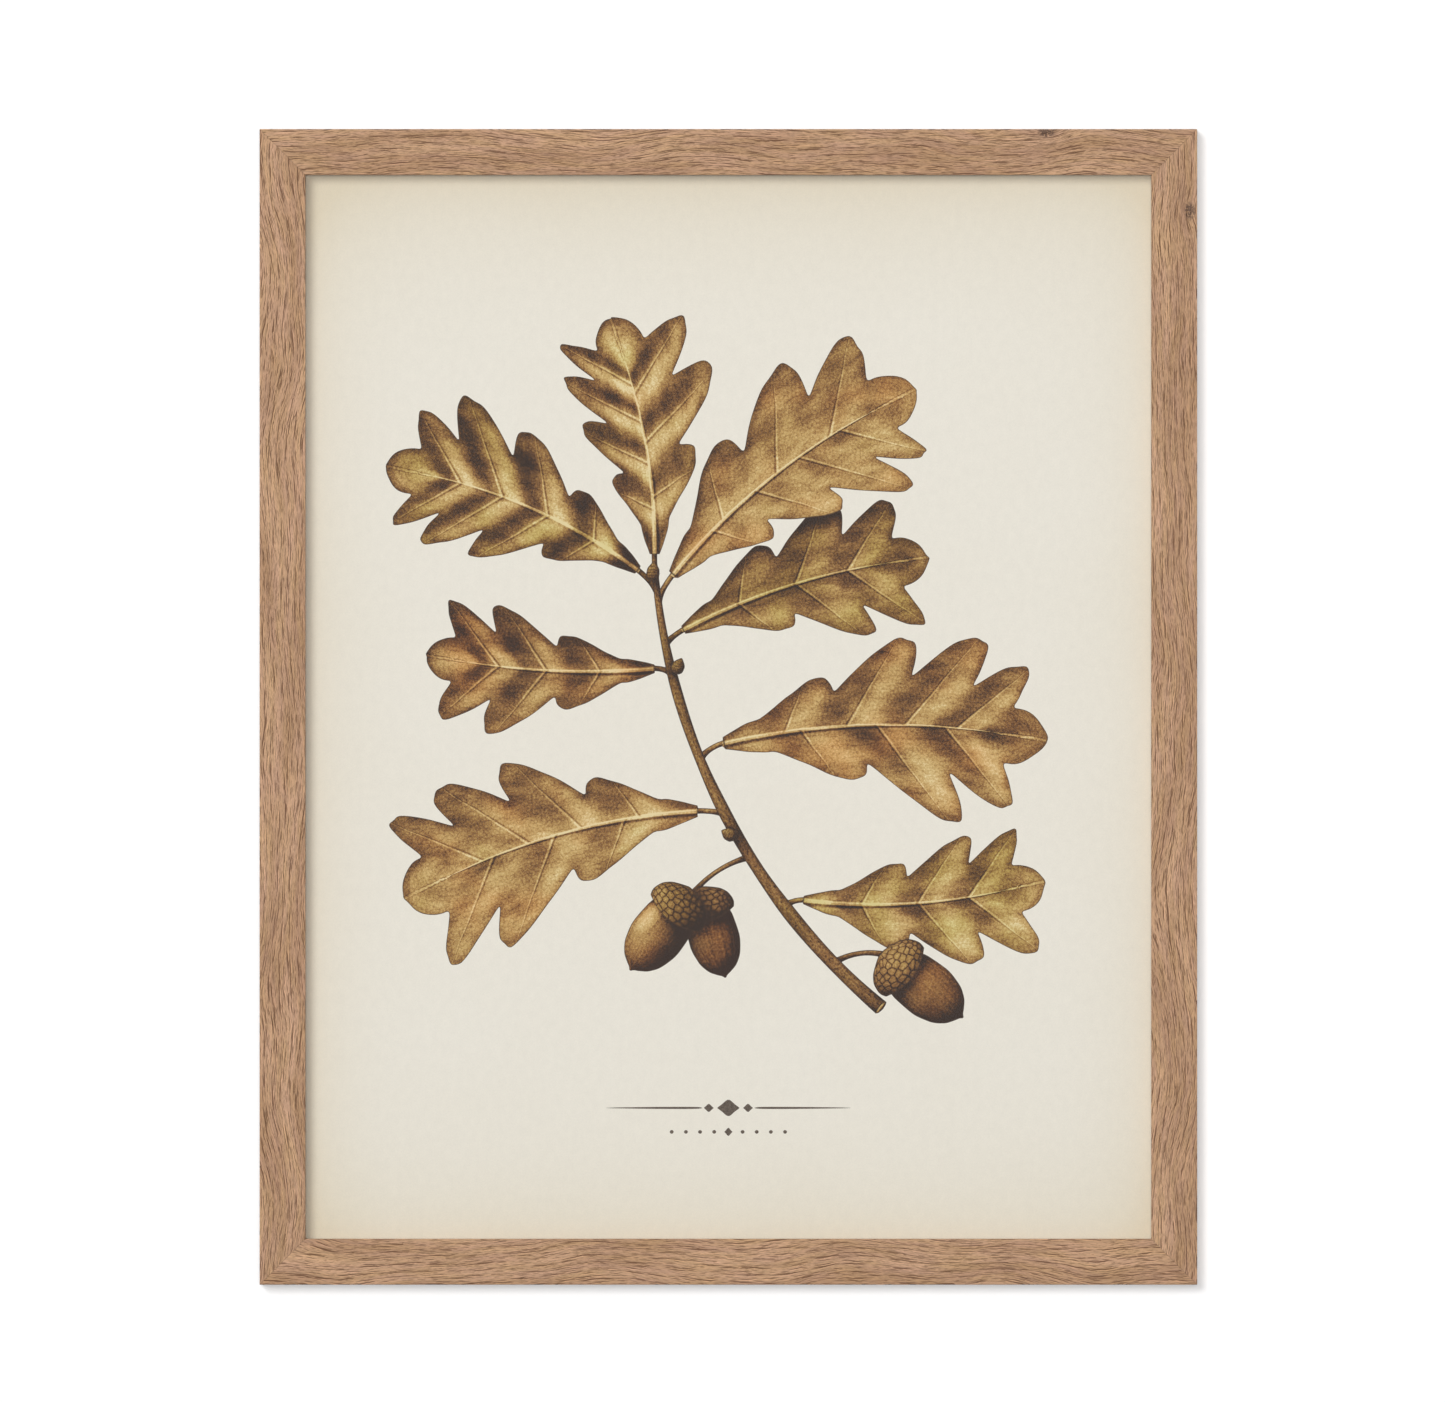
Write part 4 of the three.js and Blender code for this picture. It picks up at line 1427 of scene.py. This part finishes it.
def hanger_mesh():
    """The sawtooth hanger, its middle notch at the origin and the rail's back face at y = 0."""
    low, high = HANGER_LOW_MM, HANGER_LOW_MM + HANGER_TALL_MM
    notched = NOTCHES * NOTCH_PITCH_MM / 2
    outline = [(-notched, low)]
    for i in range(NOTCHES):
        left = -notched + i * NOTCH_PITCH_MM
        middle, right = left + NOTCH_PITCH_MM / 2, left + NOTCH_PITCH_MM
        outline += [(middle - 0.16, -0.12), (middle, 0.0), (middle + 0.16, -0.12)]
        outline += [(right - 0.12, low + 0.12), (right + 0.12, low + 0.12)]
    outline[-2:] = [(right, low)]
    ear, end = HANGER_EAR_MM, HANGER_HALF_MM - HANGER_EAR_MM
    outline += [(x, low) for x in np.linspace(notched, end, 12)[1:-1]]
    outline += arc((end, low + ear), ear, -90, 0, 6) + arc((end, high - ear), ear, 0, 90, 6)
    outline += [(x, high) for x in np.linspace(end, -end, 72)[1:-1]]
    outline += arc((-end, high - ear), ear, 90, 180, 6) + arc((-end, low + ear), ear, 180, 270, 6)
    outline += [(x, low) for x in np.linspace(-end, -notched, 12)[1:-1]]
    holes = [((side * NAIL_AT_MM[0], NAIL_AT_MM[1]), NAIL_HOLE_MM) for side in (-1, 1)]
    return pressed_plate("hanger", outline, holes, 0.8, HANGER_T_MM, hanger_lift)


def domed(radius, height, rim, low):
    """The profile of a low dome over a short upright rim."""
    steps = [math.radians(angle) for angle in range(8, 90, 9)]
    dome = [(radius * math.cos(a) ** 0.8, low + rim + (height - rim) * math.sin(a)) for a in steps]
    return [(radius * 0.96, low), (radius, low + rim * 0.4), (radius, low + rim), *dome, (0, low + height)]


def rivet_mesh():
    """A clip's rivet, the board's back face at y = 0."""
    low, under = -(board_high.y - board_low.y) / MM + 0.05, 2 * CLIP_SEAT_MM + CLIP_T_MM
    foot, thick = RIVET_FOOT_MM
    flange = [(0, low), (foot - 0.1, low), (foot, low + 0.1), (foot, low + thick)]
    shank = [(RIVET_R_MM, low + thick), (RIVET_R_MM, under)]
    radius, height = RIVET_HEAD_MM
    return lathe("rivet", [*flange, *shank, *domed(radius, height, 0.3, under)])


def nail_mesh():
    """One of the hanger's nails, the rail's back face at y = 0."""
    radius, deep = NAIL_MM
    shank = [(0, -deep), (radius * 0.5, -deep + 1), (radius, -deep + 2), (radius, HANGER_T_MM)]
    return lathe("nail", [*shank, *domed(*NAIL_HEAD_MM, 0.15, HANGER_T_MM)], sides=28)


def pad_mesh():
    """A felt pad from the rail's back face to the wall at y = 0, a little out of round."""
    r, low = PAD_R_MM, BACK_MM
    foot = [(0, low), (r - 0.15, low), (r, low + 0.2), (r, -0.6)]
    face = [(r - 0.15, -0.25), (r - 0.5, -0.06), (r * 0.7, -0.02), (0, 0)]
    return lathe("pad", foot + face, sides=64, wobble=0.03)


def place_piece(name, mesh, matrix, material, body, node):
    """A copy of a mesh where its CAD node stands."""
    mesh = mesh.copy()
    mesh.name = name
    mesh.transform(matrix)
    piece = smooth_piece(name, mesh, material)
    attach(piece, body)
    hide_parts(node)


def hardware():
    """The clips and their rivets, the hanger and its nails, and the wall pads."""
    clip, rivet, nail, pad = clip_mesh(), rivet_mesh(), nail_mesh(), pad_mesh()
    spring, turned, brass, wool = (
        new_material(write) for write in (spring_steel, rivet_steel, brass_plate, felt)
    )
    for side, turns, corner, length in SIDES:
        for number, share in enumerate(CLIP_SHARES, 1):
            at = Matrix.Translation((WALL_MM + CLIP_INSET_MM, BOARD_BACK_MM, share * length))
            at = side_frame(turns, corner) @ at @ Matrix.Rotation(math.pi, 4, "Y")
            node = f"clip_{side}_{number}"
            place_piece(f"{node}_strip", clip, at, spring, node, node)
            node = f"rivet_{side}_{number}"
            place_piece(f"{node}_turned", rivet, at, turned, "frame", node)
    behind = Matrix.Translation((0, BACK_MM * MM, 0)) @ Matrix.Scale(MM, 4)
    place_piece("hanger_strip", hanger_mesh(), behind, brass, "frame", "hanger")
    for side, sign in (("left", -1), ("right", 1)):
        at = behind @ Matrix.Translation((sign * NAIL_AT_MM[0], 0, NAIL_AT_MM[1]))
        node = f"hanger_nail_{side}"
        place_piece(f"{node}_turned", nail, at, brass, "frame", node)
        node = f"wall_pad_{side}"
        low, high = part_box(node)
        middle = (low + high) / 2
        at = Matrix.Translation((middle.x, 0, middle.z)) @ Matrix.Scale(MM, 4)
        place_piece(f"{node}_felt", pad, at, wool, "frame", node)


# ---------------------------------------------------------------- stage, light and camera

VIEW_WIDTH = 0.6627  # what the picture's width shows in the plane of the frame's front
CAMERA_OFF = Vector((-0.0027, 0, 0.0027))  # from the frame's centre to the picture's centre
LENS_MM = 800
SENSOR_MM = 36
FLOOR_Z = -1.4
FLOOR_SIZE = 60.0
WALL_SIZE = 12.0
WALL_BEHIND_MM = 0.6  # from the pads' faces to the stage's wall
FLAG_INSET_MM = 0.3  # how far inside the frame's outside a flag stands


def plane(name, size, matrix, material):
    """A square on the stage, which is no piece of the part."""
    half = size / 2
    corners = [(-half, -half, 0), (half, -half, 0), (half, half, 0), (-half, half, 0)]
    mesh = mesh_of(name, corners, [(0, 1, 2, 3)])
    mesh.transform(matrix)
    mesh.materials.append(material)
    made = in_scene(name, mesh)
    return made


def wall_paint(n):
    """White paint that is seen from the room only, so that the frame's back can be looked at."""
    paint = n.add("ShaderNodeBsdfDiffuse", {"Color": (0.9, 0.9, 0.9, 1)})
    clear = n.add("ShaderNodeBsdfTransparent", {"Color": (1, 1, 1, 1)})
    behind = n.add("ShaderNodeNewGeometry", out=6)
    n.finish(n.add("ShaderNodeMixShader", {0: behind, 1: paint, 2: clear}))


def floor_paint(n):
    x, y, _ = n.place()
    cloud = n.noise(x / 300, y / 300).ease(-0.4, 0.4)
    shade = n.mix(cloud, (0.895, 0.895, 0.89, 1), (0.905, 0.905, 0.90, 1))
    n.surface(Base_Color=shade, Roughness=0.9, Specular_IOR_Level=0.1)


def flag_black(n):
    n.surface(Base_Color=(0, 0, 0, 1), Roughness=1.0, Specular_IOR_Level=0.0)


def stage():
    """The wall, the floor, and four black flags that keep the light behind the frame off the wall."""
    upright = Matrix.Translation((0, WALL_BEHIND_MM * MM, 0)) @ Matrix.Rotation(QUARTER, 4, "X")
    wall = plane("wall", WALL_SIZE, upright, new_material(wall_paint))
    hide_from(wall, "shadow", "diffuse", "glossy", "transmission")
    black = new_material(flag_black)
    deep = WALL_BEHIND_MM - BACK_MM - 0.1
    for side, turns, corner, length in SIDES:
        at = Matrix.Translation((FLAG_INSET_MM, (BACK_MM + WALL_BEHIND_MM) / 2, length / 2))
        at = side_frame(turns, corner) @ at @ Matrix.Rotation(QUARTER, 4, "Y")
        flag = plane(f"flag_{side}", 1.0, at @ Matrix.Diagonal((length, deep, 1, 1)), black)
        hide_from(flag, "camera", "shadow", "glossy")
    floor = plane("floor", FLOOR_SIZE, Matrix.Translation((0, 0, FLOOR_Z)), new_material(floor_paint))
    hide_from(floor, "diffuse", "glossy")
    return wall, floor


def sun(name, towards, diameter, strength, only=(), never=()):
    """A sun in a direction, which lights only some things, or all but some."""
    lamp = bpy.data.lights.new(name, "SUN")
    lamp.angle = math.radians(diameter)
    lamp.energy = strength
    made = in_scene(name, lamp)
    made.rotation_mode = "QUATERNION"
    made.rotation_quaternion = Vector(towards).to_track_quat("Z", "Y")
    if only or never:
        group = bpy.data.collections.new(f"{name}_receivers")
        made.light_linking.receiver_collection = group
        for thing in (*only, *never):
            group.objects.link(thing)
        for linked in group.collection_objects:
            linked.light_linking.link_state = "INCLUDE" if only else "EXCLUDE"


def lights(wall, floor, glass):
    """Suns for the frame, and others for the wall and the floor alone."""
    for name, towards, diameter, strength in (
        ("key_sun", (-0.50, -1.0, 0.38), 31, 1.48),
        ("side_fill", (1.0, 0, 0.15), 10, 0.7),
        ("back_sun", (0.16, 1.0, 0.34), 30, 2.2),
        ("back_fill", (-0.2, 1.0, -0.1), 60, 0.7),
    ):
        sun(name, towards, diameter, strength, never=(wall, floor))
    sun("front_sun", (0, -1.0, 0), 16, 1.24, never=(wall, floor, glass))
    sun("wall_sun", (-0.152, -1.0, 0.136), 9.6, 1.27, only=(wall,))
    sun("wall_soft", (0, -1.0, 0), 11.4, 0.78, only=(wall,))
    sun("wall_front", (0, -1.0, 0), 1, 1.27, only=(wall,))
    sun("floor_sun", (0, -0.3, 1.0), 40, 2.9, only=(floor,))


def world():
    made = bpy.data.worlds.new("studio")
    bpy.context.scene.world = made
    made.use_nodes = True
    made.cycles.sampling_method = "NONE"
    n = Nodes(made.node_tree)
    rays = n.add("ShaderNodeLightPath").socket.node.outputs
    from_camera, glossy = Socket(n, rays["Is Camera Ray"]), Socket(n, rays["Is Glossy Ray"])
    _, _, up = n.parts(n.add("ShaderNodeTexCoord"))
    soft, seen, boxes = (
        n.add("ShaderNodeBackground", {"Color": (1, 1, 1, 1), "Strength": strength})
        for strength in (0.2, 1.0, up.ease(-0.9, 0.6) * 0.85 + 0.12)
    )
    lit = n.add("ShaderNodeMixShader", {0: glossy, 1: soft, 2: boxes})
    n.finish(n.add("ShaderNodeMixShader", {0: from_camera, 1: lit, 2: seen}), "ShaderNodeOutputWorld")


def camera():
    data = bpy.data.cameras.new("camera")
    data.lens = LENS_MM
    data.sensor_width = SENSOR_MM
    made = in_scene("camera", data)
    centre = (rails_low + rails_high) / 2
    far = VIEW_WIDTH * LENS_MM / SENSOR_MM
    made.location = (centre.x + CAMERA_OFF.x, rails_low.y - far, centre.z + CAMERA_OFF.z)
    made.rotation_euler = (QUARTER, 0, 0)
    bpy.context.scene.camera = made
    bpy.context.scene.view_settings.view_transform = "Standard"


# ---------------------------------------------------------------- all of it

camera()
wall, floor = stage()
lights(wall, floor, glazing_piece())
world()

wood = new_material(oak)
for seed, (side, turns, corner, length) in enumerate(SIDES):
    rail_piece(side, turns, corner, length, seed, wood)
print_piece()
hardware()
dress("backing_board", new_material(fibreboard))
steel = new_material(nail_steel)
for node in frame["nodes"]:
    if node.startswith("corner_nail"):
        dress(node, steel)
